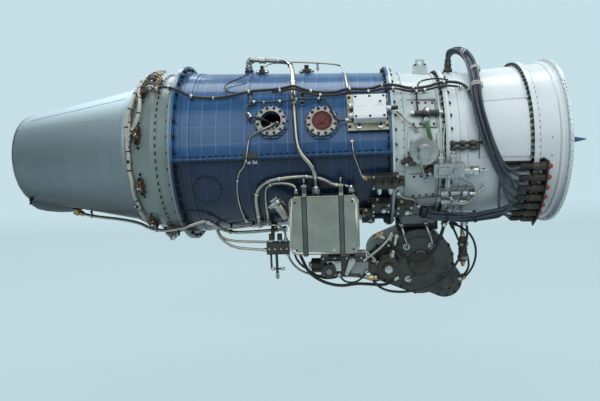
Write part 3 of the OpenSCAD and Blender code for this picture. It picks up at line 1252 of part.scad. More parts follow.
intake_case();
fan_case();
fan_stator();
intermediate_case();
bypass_duct_upper();
bypass_duct_lower();
rear_case();
jet_pipe();
exhaust_mixer();
tail_cone();
compressor_case();
combustor_case();
combustor_liner();
fuel_manifold();
turbine_case();
exhaust_frame();
bearings();
flange_bolts();
port_rings();
port_blank();
igniter();
exciter_box();
exciter_bracket();
oil_tank();
tank_straps();
filler_neck();
filler_cap();
gearbox_case();
gearbox_cover();
starter_generator();
fuel_pump();
fuel_control();
throttle_lever();
trunnions();
connector_panel();
connector_caps();
upper_harness();
lower_harness();
probe_harness();
probe_bosses();
main_cable();
ignition_leads();
breather_pipe();
oil_pipes();
drain_pipe();
sense_lines();
valve_block();
servo_unit();
spinner();
fan_rotor();
fan_shaft();
fan_turbine();
core_compressor();
core_shaft();
core_turbine();
tower_shaft();
drive_gear();
pump_gear();
scavenge_gear();
drain_mast();
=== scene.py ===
# Light turbofan engine, dressed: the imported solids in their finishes, with finer casings,
# pipes, cables and fasteners. Lengths are in millimetres until a piece is done.
import math
import bmesh
import bpy
from mathutils import Matrix, Vector


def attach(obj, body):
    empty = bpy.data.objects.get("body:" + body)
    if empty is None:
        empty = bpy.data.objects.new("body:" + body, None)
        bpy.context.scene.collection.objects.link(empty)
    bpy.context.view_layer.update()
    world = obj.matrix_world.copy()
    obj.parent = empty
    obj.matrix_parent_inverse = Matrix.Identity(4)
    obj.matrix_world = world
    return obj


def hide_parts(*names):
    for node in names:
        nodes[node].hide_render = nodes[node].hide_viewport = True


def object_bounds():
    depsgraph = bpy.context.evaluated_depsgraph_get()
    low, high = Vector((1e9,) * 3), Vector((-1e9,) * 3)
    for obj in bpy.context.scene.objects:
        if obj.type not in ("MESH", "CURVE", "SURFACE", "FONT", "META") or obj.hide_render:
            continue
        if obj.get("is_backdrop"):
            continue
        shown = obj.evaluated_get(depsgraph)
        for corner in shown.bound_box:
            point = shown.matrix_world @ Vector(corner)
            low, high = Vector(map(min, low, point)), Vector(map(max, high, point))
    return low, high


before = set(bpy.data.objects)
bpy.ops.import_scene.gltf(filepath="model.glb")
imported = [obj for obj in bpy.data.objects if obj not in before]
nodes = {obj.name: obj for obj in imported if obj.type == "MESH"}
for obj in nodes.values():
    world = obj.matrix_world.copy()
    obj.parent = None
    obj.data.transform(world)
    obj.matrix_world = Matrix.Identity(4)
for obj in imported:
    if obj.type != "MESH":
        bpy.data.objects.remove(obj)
cad_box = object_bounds()
HERE = Matrix()
SHARP = 32  # degrees between faces from which an edge stays sharp


def linked(name, data):
    """A new object in the scene."""
    thing = bpy.data.objects.new(name, data)
    bpy.context.scene.collection.objects.link(thing)
    return thing


def set_camera():
    """The photograph's view: near side, a little above the engine's axis."""
    yaw, pitch, roll = (math.radians(v) for v in (4.371, -9.065, 2.434))
    aim = Matrix.Rotation(yaw, 3, "Z") @ Matrix.Rotation(pitch, 3, "X") @ Matrix.Rotation(roll, 3, "Y")
    right, ahead, up = aim.col
    lens = bpy.data.cameras.new("camera")
    lens.lens, lens.sensor_width = 34.8, 36
    camera = linked("camera", lens)
    camera.matrix_world = (Matrix.Translation((-0.7225, -2.1581, 0.1531))
        @ Matrix((right, up, -ahead)).transposed().to_4x4())
    bpy.context.scene.camera = camera
    bpy.context.scene.view_settings.view_transform = "Standard"


set_camera()


# Finishes
class Level:
    """A socket whose operators add Math nodes."""

    def __init__(self, finish, socket):
        self.finish, self.socket = finish, socket

    def math(self, operation, *terms):
        return self.finish.node("Math", dict(operation=operation),
            **{"i%d" % i: term for i, term in enumerate(terms)})

    def __add__(self, other):
        return self.math("ADD", self, other)

    def __sub__(self, other):
        return self.math("SUBTRACT", self, other)

    def __rsub__(self, other):
        return self.math("SUBTRACT", other, self)

    def __mul__(self, other):
        return self.math("MULTIPLY", self, other)

    def __truediv__(self, other):
        return self.math("DIVIDE", self, other)

    __radd__, __rmul__ = __add__, __mul__

    def size(self):
        return self.math("ABSOLUTE", self)

    def sine(self):
        return self.math("SINE", self)

    def part(self):
        """What is left of each whole unit, 0 to 1."""
        return self.math("FRACT", self)

    def above(self, low, high):
        """0 below low, 1 above high, and soft between; high may be the lower one."""
        return self.finish.node("MapRange", dict(interpolation_type="SMOOTHSTEP"), Value=self, From_Min=low,
            From_Max=high)


class Finish:
    """A node material for one finish of the engine."""

    def __init__(self, name, metallic=0.0, rough=0.5, coat=0.0, coat_rough=0.05, sheen=0.0):
        self.material = bpy.data.materials.new(name)
        self.material.use_nodes = True
        self.tree = self.material.node_tree
        self.shader = self.tree.nodes["Principled BSDF"]
        for socket, value in (("Metallic", metallic), ("Roughness", rough), ("Coat Weight", coat),
                ("Coat Roughness", coat_rough), ("Sheen Weight", sheen)):
            self.shader.inputs[socket].default_value = value
        self.place = self.node("TexCoord", out="Object")

    def node(self, kind, settings=None, out=0, **inputs):
        """Adds a node, sets it, then links or fills its sockets; iN names a socket by number."""
        new = self.tree.nodes.new("ShaderNode" + kind)
        for key, value in (settings or {}).items():
            if key == "stops":
                ramp = new.color_ramp.elements
                while len(ramp) < len(value):
                    ramp.new(1)
                for stop, (at, colour) in zip(ramp, value):
                    stop.position, stop.color = at, (*colour, 1)
            else:
                setattr(new, key, value)
        for key, value in inputs.items():
            number = key[1:]
            socket = new.inputs[int(number) if number.isdigit() else key.replace("_", " ")]
            if isinstance(value, Level):
                self.tree.links.new(value.socket, socket)
            else:
                socket.default_value = value
        return Level(self, new.outputs[out])

    def noise(self, scale, detail=3.0, stretch=None, rough=0.55):
        at = self.place
        if stretch:
            at = self.node("Mapping", Vector=at, Scale=stretch)
        return self.node("TexNoise", Vector=at, Scale=scale, Detail=detail, Roughness=rough)

    def mix(self, factor, a, b):
        a, b = (v if isinstance(v, Level) else (*v, 1) for v in (a, b))
        return self.node("Mix", dict(data_type="RGBA"), out=2, i0=factor, i6=a, i7=b)

    def parts(self):
        """x, y and z of the surface, in millimetres."""
        split = self.node("SeparateXYZ", Vector=self.place)
        return [Level(self, out) * 1000.0 for out in split.socket.node.outputs]

    def clock(self):
        """Station along the engine and clock angle in degrees."""
        x, y, z = self.parts()
        return x, self.place.math("ARCTAN2", y * -1.0, z) * math.degrees(1.0)

    def painted_shade(self, reach=0.012):
        """1 in tight corners, 0 on open faces: the mask for painted shade."""
        return 1.0 - self.node("AmbientOcclusion", dict(samples=4), out=1, Distance=reach)

    def underside(self):
        """0 above the engine's middle, up to 1 beneath it: where painted shade darkens the underside."""
        return self.clock()[1].size().above(92.0, 150.0)

    def send_to_shader(self, colour, rough=None, height=None, depth=0.0005, strength=1.0):
        """Sends what varies over the surface to the shader."""
        for socket, value in (("Base Color", colour), ("Roughness", rough)):
            if value is not None:
                self.tree.links.new(value.socket, self.shader.inputs[socket])
        if height is not None:
            bump = self.node("Bump", Height=height, Distance=depth, Strength=strength)
            self.tree.links.new(bump.socket, self.shader.inputs["Normal"])
        return self


def tone(colour, factor):
    return tuple(min(1.0, c * factor) for c in colour)


def paint(name, colour, rough=0.28, coat=0.5, cloud=0.1, painted_shade=0.35):
    """Sprayed paint: soft clouds, painted shade in the corners and beneath the engine, and a little orange
    peel.
    """
    f = Finish(name, coat=coat, coat_rough=0.12)
    broad, fine = f.noise(5.0, 4.0), f.noise(90.0, 4.0)
    base = f.mix(broad.above(0.3, 0.7), tone(colour, 1 - cloud), tone(colour, 1 + cloud))
    scuffs = f.noise(26.0, 6.0, rough=0.75).above(0.62, 0.78)
    base = f.mix(scuffs * 0.22, base, tone(colour, 0.6))
    # Painted shade: near black in tight corners, dark grey beneath the engine.
    base = f.mix(f.painted_shade().above(0.25, 0.9) * painted_shade, base, (0.03, 0.03, 0.028))
    base = f.mix(f.underside() * 0.5 * painted_shade, base, (0.05, 0.055, 0.052))
    return f.send_to_shader(base, fine * 0.16 + (rough - 0.08) + scuffs * 0.14,
        height=f.noise(420.0, 2.0) + scuffs * 0.2, depth=0.0002, strength=0.25)


def metal(name, colour, rough=0.34, grain=(1, 1, 1), stain=0.25, tint=None, painted_shade=0.5, scale=40.0):
    """Bare metal: fine drawn grain, cloudy stains and painted shade where parts meet."""
    f = Finish(name, metallic=1.0)
    drawn, cloud = f.noise(scale, 5.0, grain), f.noise(14.0, 5.0, rough=0.65)
    base = f.mix(cloud.above(0.35, 0.75), tone(colour, 1 - stain), tint or tone(colour, 1 + stain * 0.4))
    # Painted shade in tight corners.
    base = f.mix(f.painted_shade().above(0.3, 0.95) * painted_shade, base, (0.02, 0.018, 0.015))
    return f.send_to_shader(base, drawn * 0.2 + cloud * 0.14 + (rough - 0.17), height=drawn, depth=0.0002,
        strength=0.3)


def cast(name, colour, rough=0.5, grain=520.0, metallic=0.7, painted_shade=0.6):
    """Sand-cast or shot-blasted alloy: fine pits, dull, with painted shade in the corners."""
    f = Finish(name, metallic=metallic)
    pits, cloud = f.noise(grain, 3.0), f.noise(18.0, 5.0, rough=0.7)
    base = f.mix(cloud.above(0.35, 0.7), tone(colour, 0.72), tone(colour, 1.08))
    # Painted shade in corners.
    base = f.mix(f.painted_shade(0.016).above(0.2, 0.9) * painted_shade, base, (0.016, 0.014, 0.011))
    return f.send_to_shader(base, cloud * 0.25 + (rough - 0.1), height=pits, depth=0.0004, strength=0.35)


def braid(name, colour, light, rough=0.55, metallic=0.0, around=5.0, pitch=7.0, depth=0.0003):
    """Woven sleeve that runs along a cable; lay holds the turn's cosine, sine and the run."""
    f = Finish(name, metallic=metallic, sheen=0.2)
    lay = f.node("Attribute", dict(attribute_name="lay"), out="Vector")
    c, s, run = [Level(f, o) for o in f.node("SeparateXYZ", Vector=lay).socket.node.outputs]
    turn = f.place.math("ARCTAN2", s, c) * around
    wind = run * (2 * math.pi / pitch)
    weave = (wind + turn).sine() * (wind - turn).sine()
    cloud = f.noise(30.0, 4.0)
    base = f.mix(weave.above(-0.4, 0.7), colour, light)
    base = f.mix(cloud.above(0.45, 0.8) * 0.5, base, tone(colour, 0.7))
    return f.send_to_shader(base, cloud * 0.2 + (rough - 0.1), height=weave, depth=depth, strength=0.7)


def duct_paint(name, colour, dark):
    """Glossy enamel over a laid-up skin, whose cloth seams show as faint lines, with painted shade in the
    corners and beneath.
    """
    f = Finish(name, coat=0.35, coat_rough=0.08)
    f.shader.inputs["Specular IOR Level"].default_value = 0.25
    x, a = f.clock()
    along = ((x / 47.0 + 0.13).part() - 0.5).size().above(0.466, 0.486)
    around = ((a / 11.5).part() - 0.5).size().above(0.478, 0.492)
    patchy = f.noise(7.0, 4.0).above(0.3, 0.7)
    seam = (along + around * 0.6) * (patchy * 0.5 + 0.5)
    base = f.mix(f.noise(3.2, 5.0, rough=0.6).above(0.3, 0.7), dark, colour)
    base = f.mix(seam * 0.6, base, tone(colour, 2.6))
    base = f.mix(f.noise(150.0, 2.0).above(0.71, 0.76) * 0.35, base, (0.3, 0.35, 0.4))
    # Painted shade in corners and beneath the engine.
    base = f.mix(f.painted_shade().above(0.3, 0.95) * 0.6 + f.underside() * 0.3, base, (0.008, 0.01, 0.014))
    ripple = f.noise(9.0, 3.0) * 0.5 + f.noise(60.0, 3.0) * 0.06
    return f.send_to_shader(base, f.noise(24.0, 5.0) * 0.16 + 0.24, height=ripple + seam * 0.1, depth=0.0022,
        strength=0.35)


def jet_paint():
    """Dull bare alloy of the jet pipe: faint rings from spinning, streaks of heat, a painted highlight along
    the top and painted shade beneath.
    """
    f = Finish("matt pipe grey", metallic=0.75)
    x, _, z = f.parts()
    rings = f.noise(60.0, 3.0, (1, 0.05, 0.05))
    streaks = f.noise(7.0, 5.0, (0.25, 1.4, 1.4))
    base = f.mix(streaks.above(0.3, 0.72), (0.25, 0.30, 0.32), (0.32, 0.38, 0.405))
    base = f.mix(rings.above(0.4, 0.7) * 0.15, base, (0.2, 0.225, 0.235))
    base = f.mix(x.above(-1860.0, -1925.0) * 0.3, base, (0.2, 0.2, 0.195))
    # Painted highlight: the upper part lighter, as if lit from above.
    base = f.mix(z.above(-40.0, 110.0) * 0.55, base, (0.50, 0.62, 0.67))
    # Painted shade in corners and, more strongly, beneath the engine.
    base = f.mix(f.painted_shade().above(0.3, 0.95) * 0.4 + f.underside() * 0.75, base, (0.04, 0.044, 0.044))
    return f.send_to_shader(base, streaks * 0.1 + 0.48, height=f.noise(500.0, 2.0) + rings * 0.3, depth=0.0003,
        strength=0.2)


def hot_metal(name, cool, warm, blue, rough=0.36):
    """Heat-tinted alloy: straw to blue in bands along the gas flow."""
    f = Finish(name, metallic=1.0)
    x = f.parts()[0]
    drift = f.noise(8.0, 4.0)
    ramp = f.node("ValToRGB", dict(stops=((0.0, cool), (0.45, warm), (0.75, blue), (1.0, cool))),
        Fac=((x / 90.0).sine() * 0.5 + 0.5) * 0.5 + drift * 0.5)
    grain = f.noise(60.0, 4.0)
    base = f.mix(f.noise(35.0, 5.0, rough=0.7).above(0.5, 0.8) * 0.5, ramp, tone(cool, 0.5))
    return f.send_to_shader(base, grain * 0.25 + (rough - 0.1), height=grain, depth=0.0002, strength=0.3)


white = paint("white enamel", (0.83, 0.89, 0.905), rough=0.34, coat=0.3, cloud=0.04, painted_shade=0.5)
# A darker, greyer copy of the white enamel for the intermediate case: painted shade.
white_in_painted_shade = paint("white enamel in painted shade", (0.66, 0.73, 0.72), rough=0.36, coat=0.3, cloud=0.12, painted_shade=0.85)
rear_grey = paint("rear case grey", (0.26, 0.315, 0.305), rough=0.38, coat=0.2, cloud=0.12, painted_shade=0.6)
duct_blue = duct_paint("duct blue", (0.050, 0.145, 0.310), (0.027, 0.086, 0.205))
# A darker copy of the duct blue for the lower half: painted shade.
duct_blue_shaded = duct_paint("duct blue in painted shade", (0.016, 0.038, 0.088), (0.009, 0.023, 0.058))
pipe_grey = jet_paint()
cone_blue = paint("spinner blue", (0.08, 0.12, 0.30), rough=0.36, coat=0.3, cloud=0.1)
tank_steel = metal("tank steel", (0.42, 0.425, 0.365), rough=0.36, grain=(1.6, 1.6, 0.15), stain=0.18,
    scale=70.0)
tube_steel = metal("tube steel", (0.47, 0.46, 0.42), rough=0.24, stain=0.3, tint=(0.50, 0.44, 0.34))
bright_steel = metal("bright fittings", (0.62, 0.62, 0.60), rough=0.26, stain=0.2)
plate_steel = metal("worn plate", (0.36, 0.36, 0.34), rough=0.42, stain=0.35)
strap_steel = metal("strap steel", (0.17, 0.18, 0.165), rough=0.4, stain=0.3)
blade_alloy = metal("blade alloy", (0.50, 0.51, 0.53), rough=0.3, grain=(1, 1, 0.1), stain=0.15, painted_shade=0.3)
core_steel = metal("core steel", (0.42, 0.42, 0.41), rough=0.38, stain=0.3)
bearing_steel = metal("bearing steel", (0.62, 0.63, 0.64), rough=0.18, stain=0.08)
dark_steel = metal("dark fasteners", (0.06, 0.062, 0.065), rough=0.45, stain=0.4, painted_shade=0.3)
brass = metal("brass fittings", (0.56, 0.40, 0.20), rough=0.34, stain=0.35)
khaki = metal("khaki bracket", (0.40, 0.38, 0.27), rough=0.42, stain=0.25)
alloy = cast("cast alloy", (0.105, 0.112, 0.106), rough=0.5)
dark_alloy = cast("dark oily casting", (0.095, 0.09, 0.078), rough=0.42, metallic=0.6)
pale_alloy = cast("pale castings", (0.52, 0.56, 0.58), rough=0.42, metallic=0.5, painted_shade=0.5)
exciter_paint = paint("exciter grey", (0.96, 0.99, 0.99), rough=0.36, coat=0.5, cloud=0.04)
panel_dark = cast("dark bronze panel", (0.075, 0.068, 0.052), rough=0.48, metallic=0.5)
boss_brown = cast("brown bosses", (0.10, 0.07, 0.045), rough=0.55, metallic=0.4)
cap_red = paint("red plastic", (0.55, 0.018, 0.022), rough=0.35, coat=0.3, cloud=0.12, painted_shade=0.4)
blank_red = paint("red blank", (0.11, 0.009, 0.009), rough=0.5, coat=0.0, cloud=0.25, painted_shade=0.6)
cable_blue = braid("blue-grey cable", (0.05, 0.075, 0.11), (0.10, 0.14, 0.19))
hose_dark = braid("dark hose", (0.014, 0.013, 0.012), (0.045, 0.042, 0.038), rough=0.45, metallic=0.3)
hose_green = braid("green hose", (0.035, 0.13, 0.03), (0.07, 0.24, 0.06))
sleeve_grey = braid("harness sleeve", (0.020, 0.025, 0.034), (0.15, 0.18, 0.23), rough=0.32, metallic=0.5)
sleeve_black = braid("black cable", (0.008, 0.008, 0.009), (0.03, 0.031, 0.034), rough=0.42)
sleeve_white = braid("glass sleeve", (0.56, 0.54, 0.45), (0.84, 0.82, 0.72), rough=0.8, around=8.0,
    pitch=5.0, depth=0.0006)
wire_brown = braid("brown wires", (0.05, 0.03, 0.02), (0.10, 0.065, 0.045), rough=0.5)
rubber = cast("black rubber", (0.012, 0.012, 0.013), rough=0.55, metallic=0.0, grain=300.0, painted_shade=0.2)
tie_white = braid("lacing tape", (0.55, 0.55, 0.52), (0.78, 0.78, 0.74), rough=0.7)
turbine_alloy = hot_metal("turbine alloy", (0.38, 0.35, 0.30), (0.50, 0.38, 0.22), (0.22, 0.24, 0.34))
burner_alloy = hot_metal("burner alloy", (0.33, 0.28, 0.24), (0.42, 0.30, 0.18), (0.20, 0.22, 0.33), 0.45)
mixer_alloy = hot_metal("exhaust alloy", (0.35, 0.32, 0.28), (0.38, 0.30, 0.22), (0.24, 0.24, 0.28), 0.48)


# Shapes
def eased(points, r):
    """The points with each inner corner cut to a small round of about r."""
    out = [Vector(points[0])]
    for a, b, c in zip(points, points[1:], points[2:]):
        a, b, c = Vector(a), Vector(b), Vector(c)
        d = min(r, (a - b).length * 0.45, (c - b).length * 0.45)
        p, q = b + (a - b).normalized() * d, b + (c - b).normalized() * d
        out += [p, (p + q + 2 * b) / 4, q]
    return out + [Vector(points[-1])]


def lathe(points, steps=32, angle=360.0):
    """Spins (radius, height) points about Z. An outline off the axis closes on itself, others on the axis."""
    bm = bmesh.new()
    points = [tuple(p) for p in points]
    on_axis = [p[0] < 1e-4 for p in (points[0], points[-1])]
    if any(on_axis) and not all(on_axis):
        points.insert(0 if on_axis[1] else len(points), (0.0, points[0 if on_axis[1] else -1][1]))
    closed = not any(on_axis)
    verts = [bm.verts.new((r, 0, h)) for r, h in points]
    ends = zip(verts, verts[1:] + verts[:1] if closed else verts[1:])
    geom = verts + [bm.edges.new(pair) for pair in ends]
    if closed and angle < 360:
        geom.append(bm.faces.new(verts))
    bmesh.ops.spin(bm, geom=geom, cent=(0, 0, 0), axis=(0, 0, 1), steps=steps, angle=math.radians(angle),
        use_merge=angle == 360)
    bmesh.ops.remove_doubles(bm, verts=bm.verts[:], dist=1e-4)
    bmesh.ops.recalc_face_normals(bm, faces=bm.faces[:])
    return bm


def turned(points, ease=0.8, steps=120, angle=360.0, start=0.0):
    """A ring round the engine axis from a closed outline of (station, radius) points."""
    line = eased([points[-1]] + list(points) + [points[0]], ease)[1:-1]
    bm = lathe([(r, x) for x, r in line], steps, angle)
    bm.transform(spun(start - 180, "X") @ spun(90, "Y"))
    return bm


def bevelled(bm, ease, segments=2, edges=None):
    """The shape with its edges, or the given ones, eased."""
    bmesh.ops.bevel(bm, geom=bm.edges[:] if edges is None else edges, offset=ease, segments=segments,
        profile=0.5, affect="EDGES", material=-1, clamp_overlap=edges is not None)
    return bm


def block(x, y, z, ease=1.0, segments=2):
    bm = bmesh.new()
    bmesh.ops.create_cube(bm, size=1, matrix=Matrix.Diagonal((x, y, z, 1)))
    return bevelled(bm, ease, segments)


def drum(points, ease, steps=32):
    """A spun shape with its corners eased."""
    return lathe(eased(points, ease), steps)


def round_bar(r, h, ease=0.6, steps=24):
    """Cylinder standing on the origin with eased ends."""
    return drum([(0, 0), (r, 0), (r, h), (0, h)], ease, steps)


def hexagon(r, h, ease=0.5):
    bm = bmesh.new()
    bmesh.ops.create_cone(bm, cap_ends=True, segments=6, radius1=r, radius2=r, depth=h,
        matrix=Matrix.Translation((0, 0, h / 2)))
    return bevelled(bm, ease, 1)


def plate(points, thick, ease=0.6):
    """A flat plate from an outline of (x, y) points, standing on the origin."""
    bm = bmesh.new()
    face = bm.faces.new([bm.verts.new((x, y, 0)) for x, y in points])
    top = bmesh.ops.extrude_face_region(bm, geom=[face])["geom"]
    bmesh.ops.translate(bm, vec=(0, 0, thick), verts=[v for v in top if isinstance(v, bmesh.types.BMVert)])
    bmesh.ops.recalc_face_normals(bm, faces=bm.faces[:])
    return bevelled(bm, ease)


def put(bm, part, place):
    """Copies a shape into another at a place."""
    mesh = bpy.data.meshes.new("part")
    part.to_mesh(mesh)
    mesh.transform(place)
    bm.from_mesh(mesh)
    bpy.data.meshes.remove(mesh)


def joined(*parts):
    """Several shapes as one. Each stands on the origin, or is paired with a height or a place."""
    out = bmesh.new()
    for part in parts:
        shape, place = part if isinstance(part, tuple) else (part, HERE)
        put(out, shape, place if isinstance(place, Matrix) else at(z=place))
    return out


def spun(degrees, axis):
    return Matrix.Rotation(math.radians(degrees), 4, axis)


def at(x=0.0, y=0.0, z=0.0, turn=0.0, tip=0.0, roll=0.0):
    """A place, turned about Z, then tipped about X, then rolled about Y."""
    return Matrix.Translation((x, y, z)) @ spun(roll, "Y") @ spun(tip, "X") @ spun(turn, "Z")


def clock(x, a, r=0.0, turn=0.0):
    """Place on the engine at station x, clock angle a and radius r, with Z outwards."""
    return Matrix.Translation((x, 0, 0)) @ spun(a, "X") @ Matrix.Translation((0, 0, r)) @ spun(turn, "Z")


def facing(point, direction):
    """A place whose Z points in a direction."""
    return Matrix.Translation(point) @ Vector(direction).to_track_quat("Z", "Y").to_matrix().to_4x4()


class Piece:
    """A named piece in the making: parts in several finishes, each at one or more places."""

    def __init__(self, name):
        self.name, self.finishes, self.bm = name, [], bmesh.new()

    def add(self, part, finish, *places):
        if finish not in self.finishes:
            self.finishes.append(finish)
        for face in part.faces:
            face.material_index = self.finishes.index(finish)
        for place in places or (HERE,):
            put(self.bm, part, place)
        return self

    def nuts(self, *places):
        return self.add(SMALL_NUT, dark_steel, *places)

    def done(self, slot, *replaced, body="engine"):
        mesh = bpy.data.meshes.new(self.name)
        self.bm.to_mesh(mesh)
        self.bm.free()
        mesh.transform(Matrix.Scale(0.001, 4))
        for finish in self.finishes:
            mesh.materials.append(finish.material)
        mesh.shade_smooth()
        mesh.set_sharp_from_angle(angle=math.radians(SHARP))
        piece = linked(self.name, mesh)
        piece.modifiers.new("flat faces stay flat", "WEIGHTED_NORMAL").keep_sharp = True
        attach(piece, body)
        if replaced:
            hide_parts(*replaced)


def merged(node, ease=0.0):
    """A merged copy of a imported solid's mesh, in millimetres, with its edges eased."""
    bm = bmesh.new()
    bm.from_mesh(nodes[node].data)
    bm.transform(Matrix.Scale(1000, 4))
    bmesh.ops.remove_doubles(bm, verts=bm.verts[:], dist=0.005)
    if ease:
        bmesh.ops.dissolve_limit(bm, angle_limit=math.radians(0.5), verts=bm.verts[:], edges=bm.edges[:])
        edges = [e for e in bm.edges if len(e.link_faces) == 2
            and e.calc_face_angle() > math.radians(SHARP)]
        bevelled(bm, ease, edges=edges)
    return bm


SKIN = ((-1903, 161), (-1452, 250), (-1355, 288), (-1280, 292), (-561, 265), (-381, 250), (-109, 268),
    (0, 275))


def skin(x):
    """Radius of the outer skin at a station."""
    for (x0, r0), (x1, r1) in zip(SKIN, SKIN[1:]):
        if x <= x1:
            return r0 + (r1 - r0) * (x - x0) / (x1 - x0)
    return SKIN[-1][1]


def spot(x, a, h):
    """Point at height h above the skin."""
    a = math.radians(a)
    return Vector((x, -math.sin(a) * (skin(x) + h), math.cos(a) * (skin(x) + h)))


def on_skin(x, a, h=0.0, turn=0.0):
    """Place on the engine at a height above the skin."""
    return clock(x, a, skin(x) + h, turn)


class Route:
    """A smooth line of pipe or cable, from points on the skin or in space."""

    def __init__(self, points, free=False, smooth=3):
        line = [Vector(p) if free else spot(*p) for p in points]
        for _ in range(smooth):
            line = [line[0]] + [q for a, b in zip(line, line[1:])
                for q in (a.lerp(b, 0.25), a.lerp(b, 0.75))] + [line[-1]]
        self.line = line
        self.runs = [0.0]
        for a, b in zip(line, line[1:]):
            self.runs.append(self.runs[-1] + (b - a).length)

    def place(self, run):
        """Place at a run from the start, or from the end if negative, with Z along the line."""
        run = run + self.runs[-1] if run < 0 else run
        for i, (a, b) in enumerate(zip(self.runs, self.runs[1:])):
            if run <= b or i == len(self.runs) - 2:
                p, q = self.line[i], self.line[i + 1]
                return facing(p.lerp(q, (run - a) / max(b - a, 1e-6)), q - p)

    def ends(self):
        """Both ends, each with Z into the line."""
        return self.place(0.5), self.place(-0.5) @ at(tip=180)

    def tube(self, d, sides=12):
        """A closed tube along the line, with its lay for woven sleeves."""
        curve = bpy.data.curves.new("tube", "CURVE")
        curve.dimensions, curve.bevel_depth, curve.use_fill_caps = "3D", d / 2, True
        curve.bevel_resolution = (sides - 4) // 2
        spline = curve.splines.new("POLY")
        spline.points.add(len(self.line) - 1)
        for point, q in zip(spline.points, self.line):
            point.co = (*q, 1)
        bm = bmesh.new()
        bm.from_mesh(bpy.data.meshes.new_from_object(bpy.data.objects.new("tube", curve)))
        bm.verts.ensure_lookup_table()
        lay = bm.verts.layers.float_vector.new("lay")
        for i, v in enumerate(bm.verts):
            turn = 2 * math.pi * (i % sides) / sides
            v[lay] = (math.cos(turn), math.sin(turn), self.runs[min(i // sides, len(self.runs) - 1)])
        return bm


# Small parts
NUT = joined(hexagon(6, 5.4), round_bar(7.4, 1.2, 0.3, 20), round_bar(3, 8.5, 0.5, 12))
SMALL_NUT = joined(hexagon(4.4, 4.2), round_bar(5.6, 0.9, 0.3, 16), round_bar(2, 6, 0.4, 10))
SCREW = drum([(0, 3.4), (1.6, 3.2), (1.8, 2.2), (3.2, 2.6), (4.2, 1.2), (4.2, 0)], 0.4, 16)
RIVET = lathe([(0, 1.5), (1.3, 1.2), (2.2, 0.5), (2.4, 0)], 10)
FORWARD, BACKWARD = at(roll=90), at(roll=-90)


def round_row(x, r, count, facing_x, first=0.0, span=360.0):
    """Places on a bolt circle, facing forwards or backwards."""
    return [clock(x, first + i * span / count, r) @ facing_x for i in range(count)]


def skin_band(x0, x1, low, high, *rest):
    """A band round the engine between two heights on the skin."""
    return turned([(x0, skin(x0) + low), (x0, skin(x0) + high), (x1, skin(x1) + high),
        (x1, skin(x1) + low)], *rest)


def skin_row(x, h, count, first=0.0, span=360.0):
    """Places round the engine at a height above the skin."""
    return round_row(x, skin(x) + h, count, HERE, first, span)


def circle(base, count, first=0.0, **offset):
    """Places round a base's Z, all at one offset from it."""
    return [base @ at(turn=first + 360 / count * i) @ at(**offset) for i in range(count)]


def grid(base, xs, ys, z=0.0):
    return [base @ at(x=x, y=y, z=z) for x in xs for y in ys]


def union_nut(d):
    """Flared tube coupling: hexagon, collar and sleeve, opening along +Z from the joint."""
    return joined(hexagon(0.95 * d, 0.95 * d, 0.06 * d),
        drum([(0, -0.5), (0.8 * d, -0.5), (0.8 * d, 0.15 * d), (0, 0.15 * d)], 0.5, 24),
        drum([(0.74 * d, 0.9 * d), (0.72 * d, 1.3 * d), (0.55 * d, 1.65 * d), (0, 1.65 * d)], 0.7, 24))


def loop_clamps(piece, route, runs, d, foot=14.0):
    """Cushioned loop clamps round a tube, each with a tab and a screw towards the skin."""
    r = d / 2
    cushion = drum([(r - 0.4, -4.6), (r + 1.3, -4.6), (r + 1.3, 4.6), (r - 0.4, 4.6)], 0.5, 20)
    band = drum([(r + 1, -3.6), (r + 2.3, -3.6), (r + 2.3, 3.6), (r + 1, 3.6)], 0.5, 20)
    for run in runs:
        place = route.place(run)
        here, along = place.translation, place.to_3x3().col[2]
        piece.add(cushion, rubber, place).add(band, bright_steel, place)
        inward = Vector((0, -here.y, -here.z)).normalized()
        tab = Matrix((along.cross(inward).normalized(), along, -inward)).transposed().to_4x4()
        tab.translation = here + inward * (r + foot / 2)
        piece.add(block(2.6, 8.4, foot + 2), bright_steel, tab)
        piece.nuts(tab @ at(x=1.3, z=-foot * 0.2, roll=90))


def tied(piece, route, runs, d, finish):
    """Lacing round a cable or bundle."""
    r = d / 2 + 0.8
    band = drum([(r - 1.2, -2.5), (r, -2.5), (r + 0.4, 0), (r, 2.5), (r - 1.2, 2.5)], 0.5, 16)
    piece.add(band, finish, *(route.place(run) for run in runs))


# Stations and clock angles of the ports and the exciter, and x and z of the gearbox's three axes
OPEN_PORT, BLANKED_PORT, EXCITER = (-951, 67), (-785, 68), (-632, 63)
MAIN_AXIS, PUMP_AXIS, SCAVENGE_AXIS = (-455, -410), (-575, -410), (-369.2, -482)
INTAKE_BOLTS = 84
TANK_X, TANK_Z = -787, -222  # middle of the oil tank
PROBES_X = -1397.0  # station of the probes on the rear case

